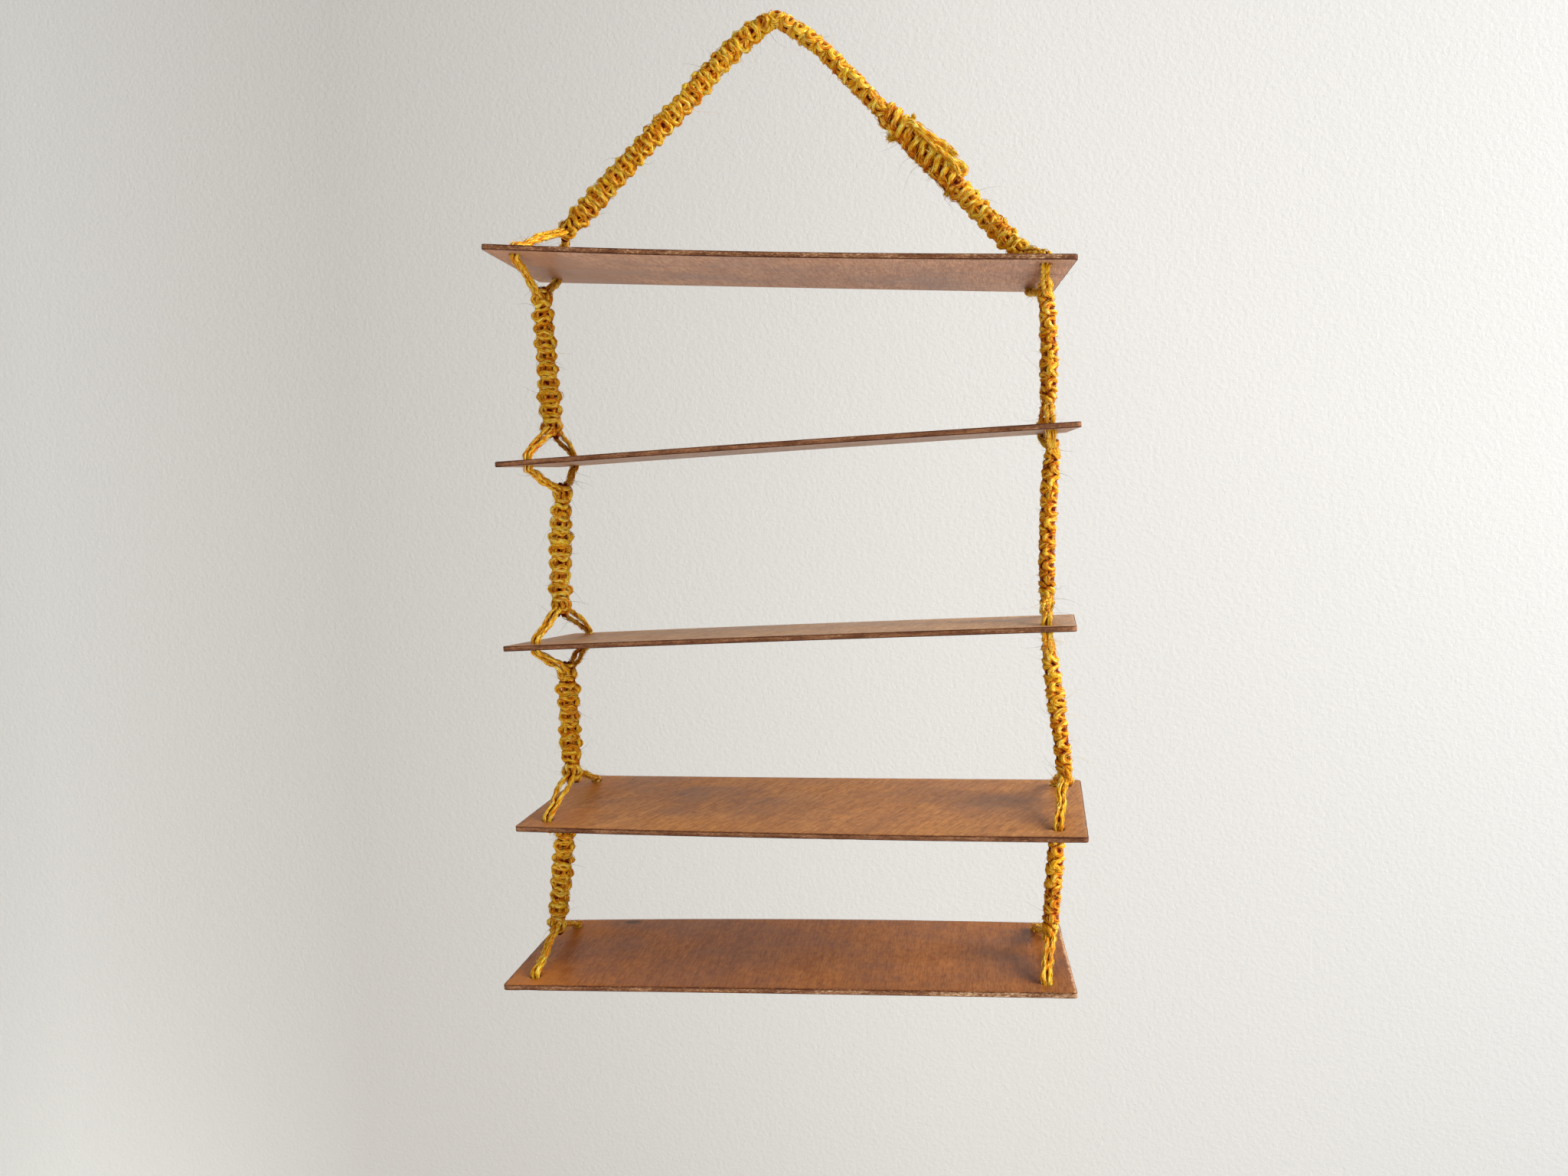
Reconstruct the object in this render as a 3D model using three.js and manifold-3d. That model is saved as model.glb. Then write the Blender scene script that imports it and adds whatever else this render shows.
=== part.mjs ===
// A hanging shelf: five thin plywood boards carried on two bands of knotted rope, with a rope handle.
// Millimetres, +Z up, +X towards the right end of the boards, -Y towards their front edges.
// The origin is the place where a hook or a hand bears, under the top of the handle.

import * as THREE from 'three';
import { mergeVertices } from 'three/addons/utils/BufferGeometryUtils.js';
import Module from 'manifold-3d';

const wasm = await Module();
wasm.setup();

// Boards
const boardLength = 380;
const boardWidth = 125;
const boardThickness = 3.6;
const boardCornerRadius = 3;
const holeEndInset = 18;
const holeSideInset = 15;

// Heights at which the boards hang
const handleHeight = 162;
const tierSpacing = 119.5;
const spacingShares = [1.008, 1.075, 1.016, 0.899];

// How the boards are turned, tipped and shifted, as they hang
const turnDegrees = [3.6, 0.4, -3.5, -2.3, 1.8];
const tipDegrees = [1.6, 2.4, -1.4, 4, 1.1];
const slopeDegrees = [3.15, -2.4, -2.4, -1.2, -1.4];
const sideShiftShares = [0.018, 0.05, 0.054, 0.099, 0.018];

// Rope
const cordDiameter = 3.6;
const bandWidth = 13.5;
const bandThickness = 9.5;
const knotPitch = 9;
const gatheringKnotDiameter = 13;
const spliceLength = 68;
const spliceWidth = 19;
const spliceThickness = 16.5;
const frayedEndLength = 8;

// Fits
const clearance = 0.3;

// Legs: pairs of cords between a gathering knot and a hole
const pairPitch = 0.86 * cordDiameter;
const splayedPitch = 1.35 * cordDiameter;
const turnHeight = 1.3 * cordDiameter;
const turnLength = 0.9 * cordDiameter;
const holeRadius = (pairPitch + cordDiameter) / 2 + clearance;

// Gathering knots above and below each board, first the left end and then the right end
const knotRise = 22;
const riseShares = [
  [1.18, 0.63],
  [1.16, 0.78],
  [1.22, 0.78],
  [1.1, 1.01],
  [0.89, 0.93],
];
const knotFall = 20;
const fallShares = [
  [1.05, 0.69],
  [1.12, 0.7],
  [1.09, 1.08],
  [0.95, 0.9],
];

// Places of those knots towards the middle of the board from its holes, as shares of the band's width
const riseInsetShares = [
  [1.42, 0.94],
  [-0.01, -0.1],
  [0.17, -0.01],
  [0.17, -0.43],
  [-0.15, -0.41],
];
const fallInsetShares = [
  [-0.09, -0.34],
  [0.5, -0.31],
  [0.43, -0.13],
  [-0.28, -0.03],
];

// Sideways bow of each band at its middle, as shares of the band's width
const bowShares = [
  [0.03, 0.1],
  [-0.07, -0.08],
  [0, 0.02],
  [0.03, 0.02],
];

// Loose or crowded knots: the place along the band and the swelling, both as shares
const bulgeShares = [
  [[[0.9, 0.1]], [[0.7, 0.2]]],
  [[[0.42, 0.18]], [[0.25, 0.12]]],
  [[[0.12, 0.22], [0.75, 0.2]], [[0.35, 0.25]]],
  [[[0.45, 0.16]], [[0.4, 0.15]]],
];
const bulgeReachShare = 0.14;

// The handle's course from its knot to its top, as shares of the knot's distance across and up
const handleTopHalfShare = 0.13;
const handleTopDropShare = 0.06;
const splicePlaceShare = 0.59;

// Cut cord ends on the splice: the place along it and the lean along it as shares, and the side, 1 being below
const frayedEndShares = [
  [0.16, -0.9, 1],
  [0.62, 0.9, -1],
  [0.84, 0.6, -1],
  [0.86, 0.4, 1],
];

// Sides of the boards' ends, their names, and the rows of holes
const ends = [-1, 1];
const endNames = ['left', 'right'];
const rows = [-1, 1];
const rowNames = ['front', 'back'];

// Facets
const cordSides = 8;
const bandSides = 10;
const spliceSides = 14;
const spliceSteps = 12;
const holeSides = 16;
const cornerSteps = 3;
const knotSides = 10;
const knotRings = 7;
const bendSteps = 2;

const woodMaterial = () => new THREE.MeshStandardMaterial({ color: 0x9b7350, roughness: 0.62, metalness: 0 });
const ropeMaterial = () => new THREE.MeshStandardMaterial({ color: 0xcf9412, roughness: 0.8, metalness: 0 });

const holeX = boardLength / 2 - holeEndInset;
const holeY = boardWidth / 2 - holeSideInset;
const knotRadius = gatheringKnotDiameter / 2;
const knotReach = knotRadius + clearance;

// Where each board hangs, top board first
function boardPoses() {
  let height = -handleHeight;
  return turnDegrees.map((turn, tier) => {
    if (tier > 0) height -= tierSpacing * spacingShares[tier - 1];
    const turns = new THREE.Euler(
      THREE.MathUtils.degToRad(tipDegrees[tier]),
      THREE.MathUtils.degToRad(slopeDegrees[tier]),
      THREE.MathUtils.degToRad(turn),
      'ZXY',
    );
    const place = new THREE.Vector3(boardWidth * sideShiftShares[tier], 0, height);
    const pose = new THREE.Matrix4().makeRotationFromEuler(turns).setPosition(place);
    return { turns, place, pose };
  });
}

const tiers = boardPoses();

// The middle of a board's end, between its two holes, in the part's frame
function endMiddle(tier, end) {
  return new THREE.Vector3(ends[end] * holeX, 0, 0).applyMatrix4(tiers[tier].pose);
}

function knotAbove(tier, end) {
  const middle = endMiddle(tier, end);
  const inset = bandWidth * riseInsetShares[tier][end];
  return new THREE.Vector3(middle.x - ends[end] * inset, 0, middle.z + knotRise * riseShares[tier][end]);
}

function knotBelow(tier, end) {
  const middle = endMiddle(tier, end);
  const inset = bandWidth * fallInsetShares[tier][end];
  return new THREE.Vector3(middle.x - ends[end] * inset, 0, middle.z - knotFall * fallShares[tier][end]);
}

function namedMesh(name, geometry, material) {
  const mesh = new THREE.Mesh(geometry, material);
  mesh.name = name;
  return mesh;
}

// A closed skin over rings of points, all with the same count, ordered along the piece
function skin(rings) {
  const sides = rings[0].length;
  const positions = rings.flat().flatMap((point) => point.toArray());
  const indices = [];
  for (let level = 0; level + 1 < rings.length; level++) {
    for (let side = 0; side < sides; side++) {
      const next = (side + 1) % sides;
      const a = level * sides + side;
      const b = level * sides + next;
      indices.push(a, b, b + sides, a, b + sides, a + sides);
    }
  }
  const last = (rings.length - 1) * sides;
  for (let side = 1; side + 1 < sides; side++) {
    indices.push(0, side + 1, side, last, last + side, last + side + 1);
  }
  const geometry = new THREE.BufferGeometry();
  geometry.setAttribute('position', new THREE.Float32BufferAttribute(positions, 3));
  geometry.setIndex(indices);
  return geometry;
}

// The across direction, made square to the course
function squared(across, course) {
  return across.clone().addScaledVector(course, -across.dot(course)).normalize();
}

// A ring of points round a centre, square to the course, with its half sizes along and off the across direction
function ring(centre, course, across, halfAcross, halfOff, sides, shift = 0) {
  const wide = squared(across, course);
  const off = new THREE.Vector3().crossVectors(course, wide);
  return Array.from({ length: sides }, (_, side) => {
    const angle = ((side + shift) / sides) * 2 * Math.PI;
    return centre.clone()
      .addScaledVector(wide, Math.cos(angle) * halfAcross)
      .addScaledVector(off, Math.sin(angle) * halfOff);
  });
}

// The direction of a line of points at each of them
function coursesOf(points) {
  return points.map((_, index) => {
    const before = points[Math.max(index - 1, 0)];
    const after = points[Math.min(index + 1, points.length - 1)];
    return after.clone().sub(before).normalize();
  });
}

// A cord beside a line of points, set off from each of them along the across direction
function cord(points, across, offsets = points.map(() => 0)) {
  const courses = coursesOf(points);
  const rings = points.map((point, index) => {
    const centre = point.clone().addScaledVector(squared(across, courses[index]), offsets[index]);
    return ring(centre, courses[index], across, cordDiameter / 2, cordDiameter / 2, cordSides, 1 / 2);
  });
  return skin(rings);
}

function toManifold(geometry) {
  const bare = geometry.clone();
  bare.deleteAttribute('normal');
  bare.deleteAttribute('uv');
  const merged = mergeVertices(bare);
  return new wasm.Manifold(new wasm.Mesh({
    numProp: 3,
    vertProperties: new Float32Array(merged.attributes.position.array),
    triVerts: new Uint32Array(merged.index.array),
  }));
}

function toGeometry(solid) {
  const mesh = solid.getMesh();
  const geometry = new THREE.BufferGeometry();
  geometry.setAttribute('position', new THREE.BufferAttribute(mesh.vertProperties, 3));
  geometry.setIndex(new THREE.BufferAttribute(mesh.triVerts, 1));
  return geometry;
}

function joined(geometries) {
  const solids = geometries.map(toManifold);
  return toGeometry(solids.reduce((whole, solid) => whole.add(solid)));
}

// Boards

function circlePath(x, y, radius) {
  const points = Array.from({ length: holeSides }, (_, side) => {
    const angle = (-side / holeSides) * 2 * Math.PI;
    return new THREE.Vector2(x + radius * Math.cos(angle), y + radius * Math.sin(angle));
  });
  return new THREE.Path(points);
}

function boardOutline() {
  const halfLength = boardLength / 2;
  const halfWidth = boardWidth / 2;
  const radius = boardCornerRadius;
  const outline = new THREE.Shape();
  outline.absarc(halfLength - radius, halfWidth - radius, radius, 0, Math.PI / 2);
  outline.absarc(radius - halfLength, halfWidth - radius, radius, Math.PI / 2, Math.PI);
  outline.absarc(radius - halfLength, radius - halfWidth, radius, Math.PI, Math.PI * 3 / 2);
  outline.absarc(halfLength - radius, radius - halfWidth, radius, Math.PI * 3 / 2, Math.PI * 2);
  for (const end of ends) {
    for (const row of rows) outline.holes.push(circlePath(end * holeX, row * holeY, holeRadius));
  }
  return outline;
}

function board(tier) {
  const geometry = new THREE.ExtrudeGeometry(boardOutline(), {
    depth: boardThickness,
    bevelEnabled: false,
    curveSegments: cornerSteps,
  });
  geometry.translate(0, 0, -boardThickness / 2);
  const mesh = namedMesh(`shelf_board_${tier + 1}`, geometry, woodMaterial());
  mesh.position.copy(tiers[tier].place);
  mesh.rotation.copy(tiers[tier].turns);
  return mesh;
}

// Legs: each leg is a pair of cords from a gathering knot, through a hole and on to the next knot

// A hole's place, its upward direction and the direction along the board, in the part's frame
function holeFrame(tier, end, row) {
  const { pose } = tiers[tier];
  return {
    centre: new THREE.Vector3(ends[end] * holeX, rows[row] * holeY, 0).applyMatrix4(pose),
    up: new THREE.Vector3(0, 0, 1).transformDirection(pose),
    along: new THREE.Vector3(1, 0, 0).transformDirection(pose),
  };
}

// Points on a rounded corner, from a straight stretch before it to a straight stretch after it
function corner(before, turn, after, length) {
  const start = turn.clone().add(before.clone().sub(turn).setLength(length));
  const finish = turn.clone().add(after.clone().sub(turn).setLength(length));
  return new THREE.QuadraticBezierCurve3(start, turn, finish).getPoints(bendSteps);
}

// The stretch from a knot to the mouth of a hole, with how far its two cords lie apart at each point
function legStretch(knot, mouth, inside) {
  const toMouth = mouth.clone().sub(knot);
  const start = knot.clone().add(toMouth.clone().setLength(knotReach));
  const bend = corner(knot, mouth, inside, turnLength);
  const straight = [1 / 3, 2 / 3].map((share) => start.clone().lerp(bend[0], share));
  const points = [start, ...straight, ...bend];
  const pitches = points.map((point) => (straight.includes(point) ? splayedPitch : pairPitch));
  return { points, pitches };
}

// Two cords side by side along a line of points, with the distance between them at each point
function cordPair(points, pitches, across) {
  return joined(ends.map((side) => cord(points, across, pitches.map((pitch) => side * pitch / 2))));
}

function leg(tier, end, row) {
  const { centre, up, along } = holeFrame(tier, end, row);
  const mouthHeight = boardThickness / 2 + turnHeight;
  const upperMouth = centre.clone().addScaledVector(up, mouthHeight);
  const lowerMouth = centre.clone().addScaledVector(up, -mouthHeight);
  const upper = legStretch(knotAbove(tier, end), upperMouth, centre);
  const lower = legStretch(knotBelow(tier, end), lowerMouth, centre);
  const points = [...upper.points, ...lower.points.reverse()];
  const pitches = [...upper.pitches, ...lower.pitches.reverse()];
  const name = `${endNames[end]}_${rowNames[row]}_leg_${tier + 1}`;
  return namedMesh(name, cordPair(points, pitches, along), ropeMaterial());
}

// Under the lowest board each pair of cords runs on from the front hole to the back hole
function underLoop(end) {
  const tier = tiers.length - 1;
  const knot = knotAbove(tier, end);
  const runDepth = boardThickness / 2 + cordDiameter / 2 + 2 * clearance;
  const mouthHeight = boardThickness / 2 + turnHeight;
  const frames = rows.map((_, row) => holeFrame(tier, end, row));
  const { along, up } = frames[0];
  const mouths = frames.map(({ centre }) => centre.clone().addScaledVector(up, mouthHeight));
  const turns = frames.map(({ centre }) => centre.clone().addScaledVector(up, -runDepth));
  const down = legStretch(knot, mouths[0], frames[0].centre);
  const back = legStretch(knot, mouths[1], frames[1].centre);
  const frontTurn = corner(frames[0].centre, turns[0], turns[1], turnLength);
  const backTurn = corner(frames[1].centre, turns[1], turns[0], turnLength);
  const points = [...down.points, ...frontTurn, ...backTurn.reverse(), ...back.points.reverse()];
  const underPitches = [...frontTurn, ...backTurn].map(() => pairPitch);
  const pitches = [...down.pitches, ...underPitches, ...back.pitches.reverse()];
  const name = `${endNames[end]}_under_loop`;
  return namedMesh(name, cordPair(points, pitches, along), ropeMaterial());
}

// Gathering knots, where the two pairs of cords of a board's end come together

function gatheringKnot(name, place) {
  const geometry = new THREE.SphereGeometry(knotRadius, knotSides, knotRings);
  const mesh = namedMesh(name, geometry, ropeMaterial());
  mesh.position.copy(place);
  return mesh;
}

// Bands of square knots

// How much a band swells at a place along it, from 1 where its knots are even
function swelling(place, bulges) {
  return bulges.reduce((size, [bulgePlace, bulgeShare]) => {
    const distance = (place - bulgePlace) / bulgeReachShare;
    return size + bulgeShare * Math.exp(-distance * distance);
  }, 1);
}

// A flat band along a curve from one distance to another, drawn in between its knots
function band(curve, from, to, across, halfAcross, halfOff, bulges) {
  const length = curve.getLength();
  const knots = Math.max(2, Math.round((to - from) / knotPitch));
  const waistShare = 0.8;
  const rings = Array.from({ length: 2 * knots + 1 }, (_, step) => {
    const place = step / (2 * knots);
    const distance = (from + (to - from) * place) / length;
    const size = (step % 2 ? 1 : waistShare) * swelling(place, bulges);
    const course = curve.getTangentAt(distance);
    return ring(curve.getPointAt(distance), course, across, halfAcross * size, halfOff * size, bandSides);
  });
  return skin(rings);
}

// The band between the knots at one end of two boards: the left ones lie flat to the front, the right ones edge on
function hangingBand(tier, end) {
  const top = knotBelow(tier, end);
  const foot = knotAbove(tier + 1, end);
  const middle = top.clone().lerp(foot, 1 / 2);
  middle.x += 2 * bandWidth * bowShares[tier][end];
  const curve = new THREE.QuadraticBezierCurve3(top, middle, foot);
  const across = new THREE.Vector3(1, 0, 0);
  const halves = [bandWidth / 2, bandThickness / 2];
  if (end === 1) halves.reverse();
  const to = curve.getLength() - knotReach;
  const geometry = band(curve, knotReach, to, across, ...halves, bulgeShares[tier][end]);
  return namedMesh(`${endNames[end]}_band_${tier + 1}`, geometry, ropeMaterial());
}

// The handle

// The middle line of the handle, from the left knot over the top to the right knot
function handleCurve() {
  const top = new THREE.Vector3(0, 0, bandThickness / 2);
  const feet = ends.map((_, end) => knotAbove(0, end));
  const shoulders = feet.map((foot) => new THREE.Vector3(
    foot.x * handleTopHalfShare,
    0,
    top.z + (foot.z - top.z) * handleTopDropShare,
  ));
  const course = new THREE.CurvePath();
  const turnIn = shoulders.map((shoulder, end) => shoulder.clone().lerp(feet[end], handleTopHalfShare));
  course.add(new THREE.LineCurve3(feet[0], turnIn[0]));
  course.add(new THREE.QuadraticBezierCurve3(turnIn[0], shoulders[0], top));
  course.add(new THREE.QuadraticBezierCurve3(top, shoulders[1], turnIn[1]));
  course.add(new THREE.LineCurve3(turnIn[1], feet[1]));
  return course;
}

// Distances along the handle at which its pieces meet
function handlePlaces(curve) {
  const lengths = curve.getCurveLengths();
  const total = lengths[lengths.length - 1];
  const topPlace = lengths[1];
  const splice = topPlace + (total - topPlace) * splicePlaceShare;
  return {
    longStart: knotReach,
    longEnd: splice - spliceLength / 2 - clearance,
    spliceStart: splice - spliceLength / 2,
    spliceEnd: splice + spliceLength / 2,
    shortStart: splice + spliceLength / 2 + clearance,
    shortEnd: total - knotReach,
  };
}

// The wrapping over the joined ends of the band, with the cut ends of its cords standing out of it
function splice(curve, start, end, across) {
  const length = curve.getLength();
  const endShare = 0.62;
  const rings = Array.from({ length: spliceSteps + 1 }, (_, step) => {
    const place = step / spliceSteps;
    const size = endShare + (1 - endShare) * Math.sqrt(Math.sin(Math.PI * place));
    const distance = (start + (end - start) * place) / length;
    const course = curve.getTangentAt(distance);
    const halves = [spliceThickness / 2 * size, spliceWidth / 2 * size];
    return ring(curve.getPointAt(distance), course, across, ...halves, spliceSides);
  });
  const pieces = [skin(rings)];
  for (const [placeShare, lean, side] of frayedEndShares) {
    const distance = (start + (end - start) * placeShare) / length;
    const root = curve.getPointAt(distance);
    const course = curve.getTangentAt(distance);
    const out = new THREE.Vector3().crossVectors(across, course).multiplyScalar(side).addScaledVector(course, lean);
    const tip = root.clone().add(out.setLength(spliceWidth / 2 * endShare + frayedEndLength));
    pieces.push(cord([root, root.clone().lerp(tip, 1 / 2), tip], across));
  }
  return joined(pieces);
}

function handle() {
  const curve = handleCurve();
  const places = handlePlaces(curve);
  const across = new THREE.Vector3(0, 1, 0);
  const halves = [bandThickness / 2, bandWidth / 2];
  const long = band(curve, places.longStart, places.longEnd, across, ...halves, []);
  const short = band(curve, places.shortStart, places.shortEnd, across, ...halves, []);
  const wrap = splice(curve, places.spliceStart, places.spliceEnd, across);
  return [
    namedMesh('handle_long_band', long, ropeMaterial()),
    namedMesh('handle_splice', wrap, ropeMaterial()),
    namedMesh('handle_short_band', short, ropeMaterial()),
    ...ends.map((_, end) => gatheringKnot(`${endNames[end]}_handle_knot`, knotAbove(0, end))),
  ];
}

const shelf = new THREE.Group();
shelf.add(...handle());
tiers.forEach((_, tier) => {
  shelf.add(board(tier));
  ends.forEach((_, end) => {
    if (tier === tiers.length - 1) {
      shelf.add(underLoop(end));
      return;
    }
    rows.forEach((_, row) => shelf.add(leg(tier, end, row)));
    shelf.add(gatheringKnot(`${endNames[end]}_upper_knot_${tier + 1}`, knotBelow(tier, end)));
    shelf.add(hangingBand(tier, end));
    shelf.add(gatheringKnot(`${endNames[end]}_lower_knot_${tier + 1}`, knotAbove(tier + 1, end)));
  });
});

export default shelf;
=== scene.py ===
# The looks of a hanging shelf: five thin plywood boards on two bands of knotted golden rope, with a handle.
# Sizes are in millimetres and become metres where a mesh is made. +X is the right end, -Y the front, +Z up.

import math

import bpy
import numpy as np
from mathutils import Matrix, Vector
from mathutils.geometry import delaunay_2d_cdt


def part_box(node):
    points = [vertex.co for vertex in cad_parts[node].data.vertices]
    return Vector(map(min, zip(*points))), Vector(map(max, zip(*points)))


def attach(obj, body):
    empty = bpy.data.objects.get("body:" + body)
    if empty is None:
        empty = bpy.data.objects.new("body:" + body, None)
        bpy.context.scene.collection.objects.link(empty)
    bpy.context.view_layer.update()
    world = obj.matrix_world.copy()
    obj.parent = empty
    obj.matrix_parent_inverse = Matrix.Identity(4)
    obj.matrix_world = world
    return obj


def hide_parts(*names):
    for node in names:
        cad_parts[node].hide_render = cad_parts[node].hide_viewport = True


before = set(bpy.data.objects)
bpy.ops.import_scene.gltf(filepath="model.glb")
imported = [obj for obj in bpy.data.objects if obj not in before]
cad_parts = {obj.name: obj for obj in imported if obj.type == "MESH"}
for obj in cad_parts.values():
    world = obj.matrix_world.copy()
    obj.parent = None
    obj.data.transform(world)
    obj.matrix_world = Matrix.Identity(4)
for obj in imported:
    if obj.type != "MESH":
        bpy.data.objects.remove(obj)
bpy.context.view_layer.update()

METRES = 0.001  # in a millimetre

# Camera: its place, then how far it is turned towards the left, tipped down and rolled, in degrees
CAMERA_PLACE = (135.8, -805.3, -333.0)
CAMERA_TURN = 9.565
CAMERA_TIP = -3.288
CAMERA_ROLL = 0.911
PICTURE_WIDTH = 2048
FOCAL_PIXELS = 1538.7
SENSOR_WIDTH = 36

# Boards
BOARD_LENGTH = 380
BOARD_WIDTH = 125
BOARD_THICKNESS = 3.6
CORNER_RADIUS = 3
HOLE_END_INSET = 18
HOLE_SIDE_INSET = 15
HOLE_RADIUS = 3.65
HOLE_X = BOARD_LENGTH / 2 - HOLE_END_INSET
HOLE_Y = BOARD_WIDTH / 2 - HOLE_SIDE_INSET

# How the boards hang, top board first
HANDLE_HEIGHT = 162
TIER_SPACING = 119.5
SPACING_SHARES = (1.008, 1.075, 1.016, 0.899)
TURN_DEGREES = (3.6, 0.4, -3.5, -2.3, 1.8)
TIP_DEGREES = (1.6, 2.4, -1.4, 4, 1.1)
SLOPE_DEGREES = (3.15, -2.4, -2.4, -1.2, -1.4)
SIDE_SHIFT_SHARES = (0.018, 0.05, 0.054, 0.099, 0.018)
TIERS = len(TURN_DEGREES)

ENDS = (-1, 1)
END_NAMES = ("left", "right")
ROWS = (-1, 1)
ROW_NAMES = ("front", "back")
FRONT = (0, -1, 0)


def board_pose(tier):
    """The turn of a board and its place, as a 3 by 3 array and a vector in millimetres."""
    height = -HANDLE_HEIGHT - TIER_SPACING * sum(SPACING_SHARES[:tier])
    turns = (
        Matrix.Rotation(math.radians(TURN_DEGREES[tier]), 3, "Z")
        @ Matrix.Rotation(math.radians(TIP_DEGREES[tier]), 3, "X")
        @ Matrix.Rotation(math.radians(SLOPE_DEGREES[tier]), 3, "Y")
    )
    return np.array(turns), np.array([BOARD_WIDTH * SIDE_SHIFT_SHARES[tier], 0, height])


def middle_of(node):
    """The middle of a node of the frame, in millimetres."""
    low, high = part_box(node)
    return np.array((low + high) / 2) / METRES


# Materials

WHITE = (255, 255, 255)
# The places of the colour sockets of a mix node
MIX_FIRST = 6
MIX_SECOND = 7
MIX_RESULT = 2


def tone(red, green, blue):
    """A colour as a screen shows it, from 0 to 255, as a shader's linear colour."""
    shares = np.array([red, green, blue]) / 255
    linear = np.where(shares <= 0.04045, shares / 12.92, ((shares + 0.055) / 1.055) ** 2.4)
    return (*linear.tolist(), 1)


class Look:
    """A material and short ways to add nodes to it. Colours are given as a screen shows them."""

    def __init__(self, name, roughness, specular=0.5):
        self.material = bpy.data.materials.new(name)
        self.material.use_nodes = True
        self.tree = self.material.node_tree
        self.shader = self.tree.nodes["Principled BSDF"].inputs
        self.shader["Roughness"].default_value = roughness
        self.shader["Specular IOR Level"].default_value = specular

    def put(self, socket, value):
        if isinstance(value, bpy.types.NodeSocket):
            self.tree.links.new(value, socket)
        else:
            socket.default_value = value

    def add(self, kind, inputs, output=0, **properties):
        """Adds a node, fills its inputs and gives one of its outputs."""
        node = self.tree.nodes.new(kind)
        for key, value in properties.items():
            setattr(node, key, value)
        for key, value in inputs.items():
            self.put(node.inputs[key], value)
        return node.outputs[output]

    def attribute(self, name, output="Vector"):
        return self.add("ShaderNodeAttribute", {}, output, attribute_name=name)

    def part(self, vector, axis):
        return self.add("ShaderNodeSeparateXYZ", {"Vector": vector}, axis)

    def scaled(self, vector, scale, shift=(0, 0, 0)):
        return self.add("ShaderNodeMapping", {"Vector": vector, "Scale": scale, "Location": shift})

    def noise(self, vector, scale, shift=(0, 0, 0), detail=2, roughness=0.5, distortion=0):
        inputs = {
            "Vector": self.scaled(vector, scale, shift),
            "Scale": 1,
            "Detail": detail,
            "Roughness": roughness,
            "Distortion": distortion,
        }
        return self.add("ShaderNodeTexNoise", inputs, "Fac")

    def ramp(self, value, *stops):
        """A ramp over a value. Each stop is a place with a colour, or with a number for a grey."""
        output = self.add("ShaderNodeValToRGB", {"Fac": value}, "Color")
        points = output.node.color_ramp.elements
        while len(points) < len(stops):
            points.new(1)
        for point, (place, colour) in zip(points, stops):
            point.position = place
            point.color = tone(*colour) if isinstance(colour, tuple) else (colour, colour, colour, 1)
        return output

    def mix(self, share, first, second, blend="MIX"):
        second = tone(*second) if isinstance(second, tuple) else second
        inputs = {0: share, MIX_FIRST: first, MIX_SECOND: second}
        return self.add("ShaderNodeMix", inputs, MIX_RESULT, data_type="RGBA", blend_type=blend)

    def stain(self, base, share, value, *stops):
        """The base multiplied, by a share, with a ramp over a value."""
        return self.mix(share, base, self.ramp(value, *stops), "MULTIPLY")

    def math(self, operation, first, second=0):
        return self.add("ShaderNodeMath", {0: first, 1: second}, operation=operation)

    def plus(self, first, second):
        return self.math("ADD", first, second)

    def less(self, first, second):
        return self.math("SUBTRACT", first, second)

    def times(self, first, second):
        return self.math("MULTIPLY", first, second)

    def length(self, vector):
        return self.add("ShaderNodeVectorMath", {0: vector}, "Value", operation="LENGTH")

    def distance(self, vector, middle, half):
        """How far a vector is from a middle, beside half sizes along two or three of its parts."""
        scale = [1 / (size * METRES) for size in half]
        shift = [-centre / size for centre, size in zip(middle, half)]
        return self.length(self.scaled(vector, (*scale, 0)[:3], (*shift, 0)[:3]))

    def bump(self, height, distance, strength):
        inputs = {"Height": height, "Distance": distance * METRES, "Strength": strength}
        return self.add("ShaderNodeBump", inputs, "Normal")

    def finish(self, colour, normal=None, roughness=None):
        for name, value in (("Base Color", colour), ("Normal", normal), ("Roughness", roughness)):
            if value is not None:
                self.put(self.shader[name], value)
        return self.material


def rope_look():
    """Golden sisal: fibres along the cord, red-brown painted shade in the hollows, paler where it is worn."""
    look = Look("golden_rope", 0.6, 0.1)
    straight = look.attribute("straight")
    painted_shade = look.attribute("painted_shade", "Fac")
    tint = look.attribute("tint", "Fac")
    fibres = look.noise(straight, (1700, 1700, 130), detail=3, roughness=0.65)
    strands = look.noise(straight, (620, 620, 55))
    patches = look.noise(straight, (70, 70, 45))
    gold = (0.35, (196, 112, 0)), (0.49, (250, 202, 12)), (0.56, (255, 246, 92)), (0.63, (255, 255, 200))
    base = look.ramp(fibres, *gold)
    base = look.stain(base, 0.7, strands, (0.36, (218, 160, 48)), (0.52, WHITE))
    base = look.stain(base, 0.8, patches, (0.35, (250, 214, 150)), (0.58, WHITE))
    base = look.stain(base, 1.0, tint, (0, (244, 230, 180)), (1, WHITE))
    # Painted shade: red-brown where the rope lies deep in a knot, in the valleys between plies and in
    # creases, roughened by the strands
    ragged = look.plus(painted_shade, look.times(look.less(strands, 0.5), -0.8))
    base = look.stain(base, 1.0, ragged, (0.05, WHITE), (0.25, (236, 180, 106)), (0.54, (124, 46, 12)))
    height = look.plus(look.times(fibres, 1.4), strands)
    return look.finish(base, look.bump(height, 0.5, 1.0))


def fibre_look():
    """Loose fibres, from dark grey-brown to pale gold."""
    look = Look("loose_fibre", 0.6, 0.2)
    tint = look.attribute("tint", "Fac")
    browns = (0, (66, 56, 44)), (0.3, (120, 92, 50))
    golds = (0.42, (232, 166, 20)), (0.7, (255, 208, 60)), (1, (255, 236, 140))
    mottle = look.noise(look.attribute("straight"), (300, 300, 300))
    colour = look.ramp(tint, *browns, *golds)
    return look.finish(look.stain(colour, 1.0, mottle, (0.3, (210, 200, 190)), (0.7, WHITE)))


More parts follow.
